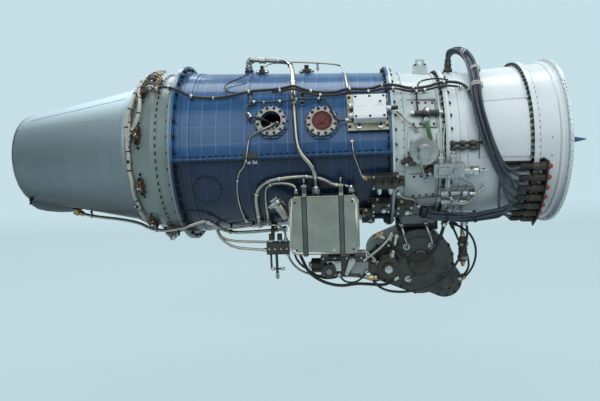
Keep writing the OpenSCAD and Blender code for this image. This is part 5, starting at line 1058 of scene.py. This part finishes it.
# Gearbox, accessories and drains
def gearbox():
    box = Piece("gearbox_body").add(merged("gearbox_case", 1.6), alloy)
    cover = Piece("gearbox_lid").add(merged("gearbox_cover", 1.4), alloy)
    rim = []
    for (x, z), r, a0, a1 in ((MAIN_AXIS, 115, -5, 205), (PUMP_AXIS, 69, 118, 262),
            (SCAVENGE_AXIS, 54.5, -115, 15), (MAIN_AXIS, 115, -128, -100)):
        count = max(2, round(math.radians(a1 - a0) * r / 34))
        turns = [math.radians(a0 + (a1 - a0) * k / count) for k in range(count + 1)]
        rim += [(x + r * math.cos(a), z + r * math.sin(a)) for a in turns]
    for x, z in rim:
        if z > -300 and abs(x - MAIN_AXIS[0]) < 50:
            continue
        cover.nuts(at(x, -112.6, z, tip=90))
        box.add(round_bar(6.4, 9, 0.8, 18), alloy, at(x, -96, z, tip=90))
    for (x, z), r in ((MAIN_AXIS, 46), (SCAVENGE_AXIS, 30)):
        seat = at(x, -120.6, z, tip=90)
        cover.add(drum([(0, 0), (r, 0), (r, 5), (r - 6, 9), (r - 9, 9), (r - 12, 6), (0, 6)], 1.0, 48),
            dark_alloy, seat)
        cover.nuts(*circle(seat, 6, x=r - 4, z=5))
    for x, z in ((-505, -352), (-418, -350), (-500, -470)):
        cover.add(joined(hexagon(10, 9), round_bar(12, 2.4, 0.5, 24)), bright_steel,
            at(x, -120.4, z, tip=90))
    cover.done("cast_alloy", "gearbox_cover")
    for x, z, spin in ((-545, -335, 40), (-380, -335, -38), (-500, -505, 150)):
        box.add(block(8, 150, 16, 2), alloy, at(x, 0, z, roll=spin))
    for y in (-70, 70):
        box.add(block(150, 9, 40, 2), alloy, at(-455, y * 0.4, -290))
    for x in (-505, -411):
        for y in (-52, 52):
            box.add(NUT, dark_steel, at(x, y, -292, tip=180))
    box.add(joined(hexagon(13, 9), round_bar(15, 3, 0.6, 28), round_bar(7, 16, 1, 20)), brass,
        at(-470, -30, -521.4, tip=180))
    for a in (180, 225):
        turn = math.radians(a)
        x, z = MAIN_AXIS[0] + 118 * math.cos(turn), MAIN_AXIS[1] + 118 * math.sin(turn)
        box.add(block(5, 150, 26, 1.5), alloy, at(x, 15, z, roll=90 - a))
    box.done("cast_alloy", "gearbox_case")

    starter = Piece("starter_body").add(merged("starter_generator", 1.5), dark_alloy)
    axis = at(MAIN_AXIS[0], 105, MAIN_AXIS[1], tip=-90)
    for k in range(9):
        starter.add(drum([(65.5, 26 + 12 * k), (69, 27 + 12 * k), (69, 31 + 12 * k), (65.5, 32 + 12 * k)],
            0.8, 48), dark_alloy, axis)
    starter.add(NUT, dark_steel, *circle(axis, 10, x=71, z=13.6))
    starter.add(drum([(52, 165), (67.5, 165), (67.5, 170), (52, 172)], 0.8, 48), plate_steel, axis)
    starter.done("cast_alloy", "starter_generator")

    pump = Piece("fuel_pump_body").add(merged("fuel_pump", 1.2), dark_alloy)
    axis = at(PUMP_AXIS[0], -121, PUMP_AXIS[1], tip=90)
    pump.add(NUT, dark_steel, *circle(axis, 6, 30, x=39, z=11))
    for k in range(4):
        pump.add(drum([(35.6, 18 + 11 * k), (38.4, 19 + 11 * k), (38.4, 23 + 11 * k), (35.6, 24 + 11 * k)],
            0.7, 40), dark_alloy, axis)
    pump.add(joined((hexagon(14, 10), 78), (round_bar(8, 12, 1, 20), 83)), bright_steel, axis)
    for spin in (70, 160):
        pump.add(joined(round_bar(11, 12, 1, 24), (union_nut(11), 10)), bright_steel,
            axis @ at(z=44, turn=spin) @ at(x=33, roll=90))
    pump.done("cast_alloy", "fuel_pump")

    control = Piece("fuel_control_body").add(merged("fuel_control", 2.0), dark_alloy)
    middle = Vector((-730, -157, -396))
    for x in (-70, -30, 12, 62):
        for z in (-29, 29):
            control.add(SCREW, bright_steel, at(middle.x + x, middle.y - 44.8, middle.z + z, tip=90))
    control.add(block(60, 2.4, 40, 0.8), plate_steel, at(-675, -203.5, -402))
    control.add(drum([(0, 29), (10, 29), (12, 25), (22, 25), (24.6, 22), (24.6, 6), (26, 4), (26, 0),
        (0, 0)], 1, 40), plate_steel, at(-780, -203, -406, tip=90))
    control.add(drum([(0, 28), (8, 28), (9, 23), (18, 22), (21, 18), (21, 0), (0, 0)], 1, 36), bright_steel,
        at(-764, -157, -360.5))
    for x, spin in ((-700, 0), (-740, 40)):
        control.add(joined(round_bar(8, 10, 1, 24), (union_nut(10), 9)), bright_steel,
            at(x, -170, -361, tip=spin * 0.4))
    control.add(joined(hexagon(15, 12), round_bar(18, 4, 0.8, 28)), bright_steel,
        at(-842, -157, -402, roll=-90))
    for x in (-778, -690):
        control.add(joined(hexagon(9, 8), round_bar(5, 16, 0.8, 20)), brass, at(x, -150, -432, tip=180))
    control.done("cast_alloy", "fuel_control")

    lever = Piece("lever_arm").add(merged("throttle_lever", 0.6), bright_steel)
    lever.add(joined(hexagon(8, 5.4), round_bar(4, 10, 0.6, 16)), bright_steel,
        at(-700, -211, -376, tip=90))
    lever.add(round_bar(5, 4, 0.6, 20), bright_steel, at(-720, -210.4, -420, tip=90))
    lever.done("bright_alloy", "throttle_lever", body="lever")


def blocks():
    valve = Piece("valve_body").add(merged("valve_block", 1.6), dark_alloy)
    base = clock(-587, 107, 289)
    for x in (-28, 0, 28):
        valve.add(joined((hexagon(12.4, 8), 26), (round_bar(9.4, 20, 1.4, 28), 33), (hexagon(6, 5), 50)),
            dark_alloy, base @ at(x=x))
    valve.add(SCREW, bright_steel, *grid(base, (-38, 38), (-22, 18), 26),
        *(base @ at(x=x, y=-26, z=8, tip=90) for x in (-36, -12, 12, 36)))
    for x in (-20, 16):
        valve.add(joined(round_bar(9, 10, 1, 24), (union_nut(9), 9)), bright_steel,
            base @ at(x=x, y=-25, z=15, tip=90))
    valve.add(joined(hexagon(10, 8), round_bar(7, 14, 1, 24)), brass,
        base @ at(x=-58, y=10, z=12, roll=-90))
    valve.add(joined((block(22, 30, 20, 2), 10), (round_bar(8, 12, 1, 24), 18)), dark_alloy,
        base @ at(x=50, y=-4, z=2))
    valve.done("cast_alloy", "valve_block")

    servo = Piece("servo_body").add(merged("servo_unit", 1.6), pale_alloy)
    base = clock(-379, 101, 270)
    servo.add(SCREW, bright_steel, *grid(base, (-48, -8, 36), (-25, 9), 30))
    servo.add(joined(hexagon(15, 9), (lathe([(15, 0), (15.6, 14), (12, 18), (0, 18)], 32), 12)),
        bright_steel, base @ at(x=60, y=-14, z=15, roll=90))
    servo.add(joined(hexagon(8.6, 8), round_bar(5.4, 16, 0.8, 20)), bright_steel,
        base @ at(x=100, y=-14, z=15, roll=90))
    for x, y in ((-30, 30), (8, 36)):
        servo.add(joined(hexagon(11.6, 9), round_bar(7, 18, 1, 24)), bright_steel,
            base @ at(x=x, y=y, z=14, tip=-90))
    servo.add(block(34, 22, 9, 2), pale_alloy, base @ at(x=-24, y=-8, z=33))
    servo.add(joined(round_bar(9, 12, 1, 24), hexagon(7, 16)), pale_alloy, base @ at(x=14, y=-9, z=29))
    servo.add(Route([(-352, 108, 44), (-330, 111, 40), (-305, 114, 30), (-292, 122, 16),
        (-296, 130, 10)]).tube(6, 12), tube_steel)
    servo.add(Route([(-398, 97, 42), (-402, 90, 38), (-400, 80, 28), (-392, 72, 24)]).tube(6, 12),
        tube_steel)
    servo.done("bright_alloy", "servo_unit")

    pins = Piece("trunnion_pair").add(merged("trunnions", 0.8), bright_steel)
    for a in (90, 270):
        pins.add(drum([(20, 0), (24, 0), (22, 5), (20, 5)], 0.8, 40), bright_steel, clock(-461, a, 289))
    pins.done("bright_alloy", "trunnions")

    mast = Piece("drain_mast_body").add(merged("drain_mast", 0.8), dark_alloy)
    for route, d in ((mast_feed, 9.4), (mast_loop, 8.4)):
        mast.add(route.tube(d, 14), tube_steel)
    mast.add(union_nut(9), bright_steel, *mast_loop.ends(), mast_feed.place(-2) @ at(tip=180))
    mast.add(joined(round_bar(9.6, 12, 1, 24), (hexagon(10.8, 7), 3)), bright_steel,
        *(at(x, -150, -318) for x in (-984, -954)))
    mast.add(SCREW, bright_steel, *(at(x, -172, -336, tip=90) for x in (-990, -970, -948, -928)))
    mast.add(joined(hexagon(8, 10), round_bar(6.2, 18, 0.8, 20)), tube_steel, at(-968, -150, -446))
    mast.add(joined(round_bar(5.2, 14, 0.8, 20), (hexagon(6.4, 6), 3)), tube_steel,
        at(-990, -150, -414, roll=90), at(-954, -150, -414, roll=90))
    mast.done("cast_alloy", "drain_mast")


def connectors():
    panel = Piece("connector_plate").add(merged("connector_panel", 0.6), panel_dark)
    caps = Piece("connector_cap_set")
    for i in range(7):
        a, r = socket_clock(i), skin(PANEL_X) + SOCKET_H
        axis = clock(PANEL_X, a, r)
        back, ahead = axis @ BACKWARD, axis @ FORWARD
        panel.add(drum([(0, 2), (14, 2), (14, 7), (12.6, 8), (12.6, 24), (13.6, 26), (13.6, 34), (11, 40),
            (8, 44), (7, 62), (5, 64), (0, 64)], 0.9, 32), panel_dark, back)
        panel.add(block(2.4, 3, 12, 0.6), panel_dark, *circle(back, 15, x=12.6, z=16))
        panel.add(drum([(6.4, 48), (9.6, 50), (9.6, 72), (6, 80), (5, 80)], 1.2, 28), rubber, back)
        panel.add(SCREW, bright_steel, *circle(ahead, 4, 45, x=15.5, z=1.6))
        caps.add(drum([(0, 18), (6, 18), (7.4, 16.6), (7.4, 12), (10, 11), (10.4, 2), (0, 2)], 1.0, 32),
            cap_red, ahead)
        caps.add(block(1.6, 2.2, 8, 0.5), cap_red, *circle(ahead, 12, x=10, z=6.4))
    for a in (99, 122, 145):
        panel.nuts(clock(PANEL_X + 5, a, skin(PANEL_X) + 4), clock(PANEL_X - 6, a, skin(PANEL_X) + 4))
    panel.done("dark_panel", "connector_panel")
    caps.done("red_cap", "connector_caps")


def probes():
    bosses = Piece("probe_boss_set")
    oval = joined((plate(rounded_outline(25, 66, 12), 6.5, 1.4), 1), (block(17, 40, 8, 2.4), 10),
        (block(21, 9, 6, 1.6), at(y=14, z=12)), (block(21, 9, 6, 1.6), at(y=-14, z=12)))
    for k in range(10):
        place = on_rear(36 * k, 4)
        bosses.add(drum([(0, 12), (6, 12), (6.6, 17), (4, 18), (4, 24), (0, 24)], 0.7, 24), bright_steel,
            place)
        bosses.add(joined(oval, (hexagon(9, 8, 0.9), 9), round_bar(7, 17, 1.2, 24)), boss_brown, place)
        bosses.add(round_bar(5.5, 34, 0.5, 20), core_steel, place @ at(z=-33))
        bosses.add(joined(hexagon(4.2, 4), round_bar(2.2, 7, 0.4, 12)), brass,
            *(place @ at(x=x, y=y, z=11) for x, y in ((5, 21), (-5, -21), (-6, 8), (6, -8))))
        bosses.nuts(place @ at(y=27, z=7.4), place @ at(y=-27, z=7.4))
    bosses.done("brown_boss", "probe_bosses")

    x = -1436
    ring = Route([(x + 2.4 * math.sin(a * 0.31), a, 11 + 1.2 * math.sin(a * 0.23 + 1))
        for a in range(-2, 363, 6)], smooth=2)
    near_split = Route([(-1435, 76, 12), (-1428, 71, 15), (-1404, 66, 22), (-1392, 60, 27), (-1390, 52, 30),
        (-1400, 45, 28), (-1410, 38, 26), (-1412, 30, 26), (-1396, 23, 28), (-1372, 19, 26),
        (-1348, 17, 18)])
    far_split = Route([(-1438, 74, 14), (-1442, 66, 19), (-1438, 57, 24), (-1428, 48, 28), (-1424, 38, 30),
        (-1418, 29, 32), (-1402, 17, 32), (-1380, 11, 30), (-1352, 8, 20)])
    harness = Piece("probe_harness_sleeve").add(ring.tube(13, 16), sleeve_white)
    for route in (near_split, far_split):
        harness.add(route.tube(12, 16), sleeve_white)
        tied(harness, route, (40, 105, 170, 235), 12, rubber)
    for k in range(10):
        clip = on_skin(x, 18 + 36 * k)
        harness.add(block(10, 9, 3, 0.8), bright_steel, clip @ at(z=3.6))
        harness.add(joined((block(3, 9, 14, 0.8), at(x=-8, z=9)), (block(3, 9, 14, 0.8), at(x=8, z=9)),
            (block(18, 9, 2.4, 0.8), 17.4)), bright_steel, clip)
        harness.nuts(clip @ at(z=18))
        for lean, h in ((-3.4, 0), (3.4, 3)):
            wire = Route([(x + 2, 36 * k + 6 + lean, 11), (x + 9, 36 * k + 4 + lean, 17 + h),
                (x + 20, 36 * k + 2.4 + lean, 22 + h), (x + 32, 36 * k + 1.2 + lean * 0.6, 24 + h),
                (x + 40, 36 * k + lean * 0.5, 20), (x + 39, 36 * k + lean * 0.5, 15)])
            harness.add(wire.tube(3.6, 8), wire_brown)
    for k in range(30):
        run = ring.runs[-1] * (k + 0.37 + 0.16 * math.sin(5.1 * k)) / 30.6
        tied(harness, ring, (run,), 13, rubber if k % 3 else tie_white)
    for k in range(12):
        lean, lift = 4.0 * math.sin(2.3 * k), 5.0 * math.cos(1.7 * k)
        wire = Route([(-1430 + 2 * k, 16 + 2.4 * k, 16), (-1414, 15 + lean + 2.5 * k, 26 + lift),
            (-1392, 19 - lean + 2.2 * k, 36 - lift), (-1368, 21 + lean + 2.0 * k, 34 + lift),
            (-1350, 25 + 1.6 * k, 24), (-1338, 27 + 1.3 * k, 8)])
        harness.add(wire.tube(4.0, 8), wire_brown)
        harness.add(joined(round_bar(4.6, 15, 0.8, 16), (hexagon(5.6, 5), 3)), brass if k % 2
            else dark_alloy, wire.place(-8) @ at(tip=180))
    harness.done("white_sleeve", "probe_harness")


# Small hoses, cables and fittings round the underside and the waist
def hose(piece, points, d, finish, free=True, ends=None):
    """A hose or tube between two couplings."""
    route = Route(points, free)
    piece.add(route.tube(d, 12), finish)
    piece.add(union_nut(d), ends or bright_steel, *route.ends())
    return route


def underside():
    hoses = Piece("underside_hoses")
    for d, finish, points in ((11, hose_dark, [(-890, -200, -300), (-885, -196, -340), (-870, -190, -380),
            (-850, -200, -420), (-800, -205, -452), (-740, -200, -468), (-690, -190, -462),
            (-640, -175, -470), (-590, -160, -480), (-560, -150, -470), (-540, -140, -455)]),
            (8, hose_dark, [(-905, -170, -345), (-890, -180, -385), (-850, -185, -415), (-810, -190, -440),
            (-770, -195, -440), (-740, -200, -428)]), (12, rubber,
            [(-600, -168, -296), (-560, -172, -330), (-520, -160, -376), (-470, -156, -402),
            (-430, -152, -384), (-400, -150, -336), (-380, -140, -290), (-372, -128, -262)]),
            (9, hose_dark, [(-640, -180, -440), (-600, -176, -492), (-520, -150, -512), (-440, -146, -498),
            (-384, -150, -470), (-338, -142, -420), (-304, -136, -360), (-292, -134, -300),
            (-300, -128, -262)]), (8, tube_steel, [(-505, -130, -352), (-506, -152, -346),
            (-512, -164, -316), (-520, -158, -284), (-524, -140, -262)]),
            (8, tube_steel, [(-418, -130, -350), (-416, -148, -342), (-424, -160, -312), (-436, -152, -280),
            (-440, -132, -258)]), (7, sleeve_black, [(-500, -130, -470), (-492, -160, -452),
            (-450, -172, -430), (-400, -168, -440), (-346, -150, -455), (-318, -134, -470)]),
            (7, sleeve_white, [(-660, -206, -376), (-630, -214, -352), (-600, -208, -330),
            (-574, -196, -306), (-560, -176, -284)]), (10, tube_steel,
            [(-700, -172, -350), (-690, -204, -344), (-650, -212, -340), (-622, -204, -372),
            (-612, -186, -400), (-606, -160, -410)]), (7, hose_dark,
            [(-748, -206, -420), (-730, -222, -446), (-690, -214, -452), (-660, -206, -432),
            (-650, -206, -410)]), (9, tube_steel, [(-1180, -140, -262), (-1168, -142, -296),
            (-1120, -142, -312), (-1000, -142, -316), (-985, -146, -318)])):
        hose(hoses, points, d, finish)
    hoses.add(joined(block(50, 10, 36, 2), (block(22, 8, 20, 1.4), at(x=14, y=-7, z=4))), bright_steel,
        at(-763, -208, -392))
    hoses.add(drum([(0, 1), (4.6, 1), (6, 2.4), (8, 2.4), (8, 0), (0, 0)], 0.4, 24), dark_alloy,
        at(-775, -212.6, -384, tip=90), at(-775, -212.6, -400, tip=90))
    hoses.add(joined(hexagon(11, 14), (round_bar(7.6, 34, 1, 24), -10), (hexagon(9, 8), 18)), brass,
        at(-642, -196, -440, roll=90), at(-612, -168, -300, roll=60))
    for x, z in ((-566, -316), (-548, -322)):
        hoses.add(joined(block(9, 3, 46, 1), (round_bar(7, 5, 0.8, 20), at(y=2, z=20, tip=90))), tie_white,
            at(x, -166, z, roll=14))
    hoses.done("cable_black")

    units = Piece("underside_units")
    ribbed = [(0, 0), (13, 0), (13, 6)]
    for k in range(7):
        ribbed += [(16, 10 + 11 * k), (16, 16 + 11 * k), (13, 18 + 11 * k), (13, 20 + 11 * k)]
    ribbed += [(13, 90), (8, 92), (0, 92)]
    units.add(drum(ribbed, 0.6, 32), dark_alloy, at(-305, -110, -412))
    units.add(block(11, 4, 98, 1.2), plate_steel, at(-305, -92, -280))
    units.add(drum([(16.4, 0), (19, 0), (19, 9), (16.4, 9)], 0.6, 32), plate_steel, at(-305, -110, -352),
        at(-305, -110, -400))
    units.add(joined(hexagon(9, 9), round_bar(6, 18, 0.8, 20)), brass, at(-305, -110, -320),
        at(-305, -110, -412, tip=180))
    for x, a, size in ((-600, 128, (62, 44, 36)), (-640, 140, (44, 56, 30)), (-520, 132, (54, 40, 34)),
            (-1338, 150, (46, 30, 26)), (-1362, 162, (26, 24, 22))):
        place = on_skin(x, a, size[2] / 2 + 6)
        top = size[2] / 2
        units.add(block(*size, 2.4), dark_alloy, place)
        units.add(block(size[0] + 18, size[1] * 0.6, 5, 1), plate_steel, place @ at(z=-top - 2))
        units.nuts(*(place @ at(x=side * (size[0] / 2 + 4), y=y, z=-top) for side in (-1, 1)
            for y in (-8, 8)))
        units.add(SCREW, bright_steel, *(place @ at(x=u * (size[0] / 2 - 6), y=v * (size[1] / 2 - 6),
            z=top - 0.6) for u in (-1, 1) for v in (-1, 1)))
        units.add(joined(round_bar(8, 14, 1, 24), (hexagon(9.6, 7), 3)), bright_steel,
            place @ at(x=size[0] * 0.14, z=top - 1))
        units.add(union_nut(8), tube_steel, place @ at(y=size[1] / 2, x=-size[0] * 0.2, tip=-90),
            place @ at(y=-size[1] / 2, x=size[0] * 0.2, tip=90))
    units.done("cast_alloy")


def waist():
    """Pipes and small units round the intermediate case and the servo."""
    small = Piece("waist_fittings")
    for d, finish, points in ((15, hose_green, [(-452, 68, 8), (-451, 71, 26), (-448, 77, 34),
            (-440, 84, 30), (-430, 91, 12)]), (8, tube_steel,
            [(-452, 112, 8), (-456, 108, 26), (-470, 100, 34), (-486, 92, 30), (-500, 88, 12)]),
            (7, tube_steel, [(-540, 62, 12), (-528, 66, 24), (-505, 72, 26), (-486, 74, 16),
            (-480, 76, 4)]), (9, tube_steel, [(-548, 116, 34), (-530, 120, 40), (-500, 122, 36),
            (-480, 128, 24), (-470, 136, 14)]), (9, cable_blue,
            [(-222, 98, 6), (-220, 102, 18), (-218, 112, 20), (-215, 124, 22), (-208, 133, 30),
            (-200, 139, 30)]), (8, tube_steel, [(-372, 124, 30), (-350, 128, 44), (-318, 128, 40),
            (-290, 122, 30), (-262, 118, 10)])):
        hose(small, points, d, finish, False)
    valve = on_skin(-448, 63.5, 16)
    small.add(joined((round_bar(13, 26, 2, 28), -12), (hexagon(15, 9), -3), (block(74, 12, 9, 2), -9),
        (round_bar(8, 80, 1, 24), at(x=-40, roll=90)), (hexagon(10, 9), at(x=24, roll=90))), dark_alloy,
        valve)
    small.add(joined(round_bar(6, 16, 1, 20), (hexagon(8, 6), 3)), bright_steel, valve @ at(z=10),
        valve @ at(x=36, roll=90), valve @ at(x=-36, roll=-90))
    for a, h, runs in ((121, 30, ((-404, 22, 9), (-372, 30, 7.4), (-334, 16, 10), (-312, 20, 6))),
            (130, 24, ((-398, 28, 8), (-362, 18, 10), (-338, 30, 6.4)))):
        small.add(block(118, 20, 10, 1.6), pale_alloy, on_skin(-350, a, h - 14))
        for x, length, r in runs:
            barrel = on_skin(x, a, h) @ FORWARD
            small.add(joined(round_bar(r, length, 1.2, 24), (hexagon(r * 1.12, 6), 3)), pale_alloy if r > 7
                else bright_steel, barrel)
            small.add(block(9, 5, 16, 1), pale_alloy, clock(x + length / 2, a, skin(x) + h - 9))
    for x, a in ((-505, 97), (-430, 104)):
        place = on_skin(x, a, 12)
        small.add(joined(block(38, 26, 22, 2.2), (round_bar(8, 12, 1, 24), 10),
            (round_bar(6.4, 60, 1, 20), at(x=-30, roll=90))), dark_alloy, place)
        small.add(SMALL_NUT, bright_steel, place @ at(x=12, y=8, z=10.6), place @ at(x=-12, y=-8, z=10.6))
    for a, far in ((85.5, -262), (89, -290)):
        rod = hose(small, [(-376, a, 12), (-360, a, 17), (-330, a, 17), (far, a, 13)], 10, hose_dark, False,
            dark_alloy)
        small.add(drum([(5, -8), (8.4, -8), (8.4, 8), (5, 8)], 1, 24), dark_alloy, rod.place(38),
            rod.place(70))
    for x, a, size in ((-842, 4, 20), (-1000, 9, 15)):
        place = on_skin(x, a, 8)
        small.add(joined(block(size * 1.5, size, 16, 2), round_bar(size * 0.4, 22, 1, 24),
            (hexagon(size * 0.46, 7), 12)), dark_alloy, place)
        small.add(union_nut(8), bright_steel, place @ at(x=size * 0.7, roll=90),
            place @ at(x=-size * 0.7, roll=-90))
    arc = Route([(-1000, 9, 18), (-985, 7, 30), (-960, 5, 38), (-930, 5, 36), (-912, 6, 34)])
    small.add(arc.tube(4.4, 10), tube_steel)
    for run in (36, 92):
        tee = breather.place(run)
        small.add(joined((round_bar(11, 24, 1.4, 24), -12), (hexagon(12.4, 7, 0.6), 5),
            (hexagon(12.4, 7, 0.6), -12), (round_bar(7, 16, 1, 20), at(roll=90))), bright_steel, tee)
    small.add(joined(block(14, 8, 12, 1.6), (round_bar(4, 16, 0.6, 16), 4)), dark_steel,
        on_skin(-1888, 148, 5))
    small.done("bright_alloy")


# Spinner and fan
def fan():
    outline = eased([(155, 0), (149, 2.5), (95, 14), (25, 32), (-45, 56), (-128, 86), (-139, 89.8),
        (-139, 30), (-139, 0)], 9)
    cone = Piece("spinner_cone").add(lathe([(r, x) for x, r in outline], 64), cone_blue, FORWARD)
    cone.add(SCREW, dark_steel, *(clock(-118, 30 * k + 15, 81.4) @ at(roll=-20) for k in range(12)))
    cone.done("spinner_blue", "spinner", body="fan_spool")


def inner_parts():
    """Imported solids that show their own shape, each in its finish."""
    own = {white: ("intake_case", "fan_case"), white_in_painted_shade: ("intermediate_case",),
        duct_blue: ("bypass_duct_upper",), duct_blue_shaded: ("bypass_duct_lower",), rear_grey: ("rear_case",),
        pipe_grey: ("jet_pipe",), mixer_alloy: ("exhaust_mixer", "tail_cone"),
        core_steel: ("compressor_case", "combustor_case", "exhaust_frame"),
        burner_alloy: ("combustor_liner",), brass: ("fuel_manifold",),
        turbine_alloy: ("turbine_case", "fan_turbine", "core_turbine"),
        bearing_steel: ("bearings", "fan_shaft", "core_shaft", "tower_shaft", "drive_gear", "pump_gear",
        "scavenge_gear"), blade_alloy: ("fan_stator", "core_compressor", "fan_rotor")}
    for finish, names in own.items():
        for name in names:
            nodes[name].material_slots[0].material = finish.material


def studio():
    """Pale floor and wall in one sweep, under a broad lamp overhead and soft ones in front and behind."""
    bm = bmesh.new()
    edge = [bm.verts.new((-16, y, z)) for y, z in eased([(-14, -0.86), (9, -0.86), (9, 9)], 3.0)]
    line = [bm.edges.new(pair) for pair in zip(edge, edge[1:])]
    wall = bmesh.ops.extrude_edge_only(bm, edges=line)["geom"]
    bmesh.ops.translate(bm, vec=(30, 0, 0), verts=[v for v in wall if isinstance(v, bmesh.types.BMVert)])
    bmesh.ops.recalc_face_normals(bm, faces=bm.faces[:])
    mesh = bpy.data.meshes.new("studio_sweep")
    bm.to_mesh(mesh)
    mesh.shade_smooth()
    sweep = linked("studio_sweep", mesh)
    backdrop = Finish("studio backdrop", rough=0.8)
    base = backdrop.mix(backdrop.noise(0.7, 2.0), (0.34, 0.42, 0.45), (0.38, 0.46, 0.49))
    backdrop.send_to_shader(base)
    path = backdrop.node("LightPath").socket.node
    camera, glossy, through = (Level(backdrop, path.outputs["Is " + ray + " Ray"])
        for ray in ("Camera", "Glossy", "Transmission"))
    rays = camera.math("MAXIMUM", camera.math("MAXIMUM", camera, glossy), through)
    far = backdrop.place.math("MAXIMUM", backdrop.parts()[1].above(200.0, 4200.0) * 0.8, 0.5)
    glow = backdrop.node("Emission", Strength=1.0,
        Color=backdrop.mix(far, (0.50, 0.68, 0.71), (0.70, 0.90, 0.98)))
    seen = backdrop.node("MixShader", i0=rays * (far * 0.25 + 0.65),
        i1=Level(backdrop, backdrop.shader.outputs[0]), i2=glow)
    backdrop.tree.links.new(seen.socket, backdrop.tree.nodes["Material Output"].inputs["Surface"])
    mesh.materials.append(backdrop.material)
    sweep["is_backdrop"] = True

    world = bpy.data.worlds.new("studio")
    bpy.context.scene.world = world
    world.use_nodes = True
    tree = world.node_tree
    sky, pale = tree.nodes["Background"], tree.nodes.new("ShaderNodeBackground")
    sky.inputs["Color"].default_value, sky.inputs["Strength"].default_value = (0.62, 0.82, 0.92, 1), 0.15
    pale.inputs["Color"].default_value = (0.62, 0.80, 0.87, 1)
    rays, chosen = tree.nodes.new("ShaderNodeLightPath"), tree.nodes.new("ShaderNodeMixShader")
    for out, socket in ((rays.outputs["Is Camera Ray"], 0), (sky.outputs[0], 1), (pale.outputs[0], 2)):
        tree.links.new(out, chosen.inputs[socket])
    tree.links.new(chosen.outputs[0], tree.nodes["World Output"].inputs["Surface"])

    for name, place, target, size, power in (("overhead", (-0.9, 0.7, 2.5), (-0.9, 0, 0.1), (5.6, 0.9), 72),
            ("front", (-0.2, -3.3, 2.6), (-0.7, 0, 0), (6.0, 4.0), 132),
            ("rear", (-2.6, 2.0, 2.0), (-0.9, 0, 0), (1.6, 1.2), 20)):
        lamp = bpy.data.lights.new(name, "AREA")
        lamp.shape, lamp.size, lamp.size_y = "RECTANGLE", *size
        lamp.energy, lamp.color = power, (0.92, 0.98, 1.0)
        linked(name, lamp).matrix_world = facing(place, Vector(place) - Vector(target))


inner_parts()
casings()
fasteners()
ports()
exciter()
tank()
filler()
gearbox()
blocks()
connectors()
probes()
pipes()
cables()
underside()
waist()
fan()
studio()

str([[list(corner) for corner in box] for box in (cad_box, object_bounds())])
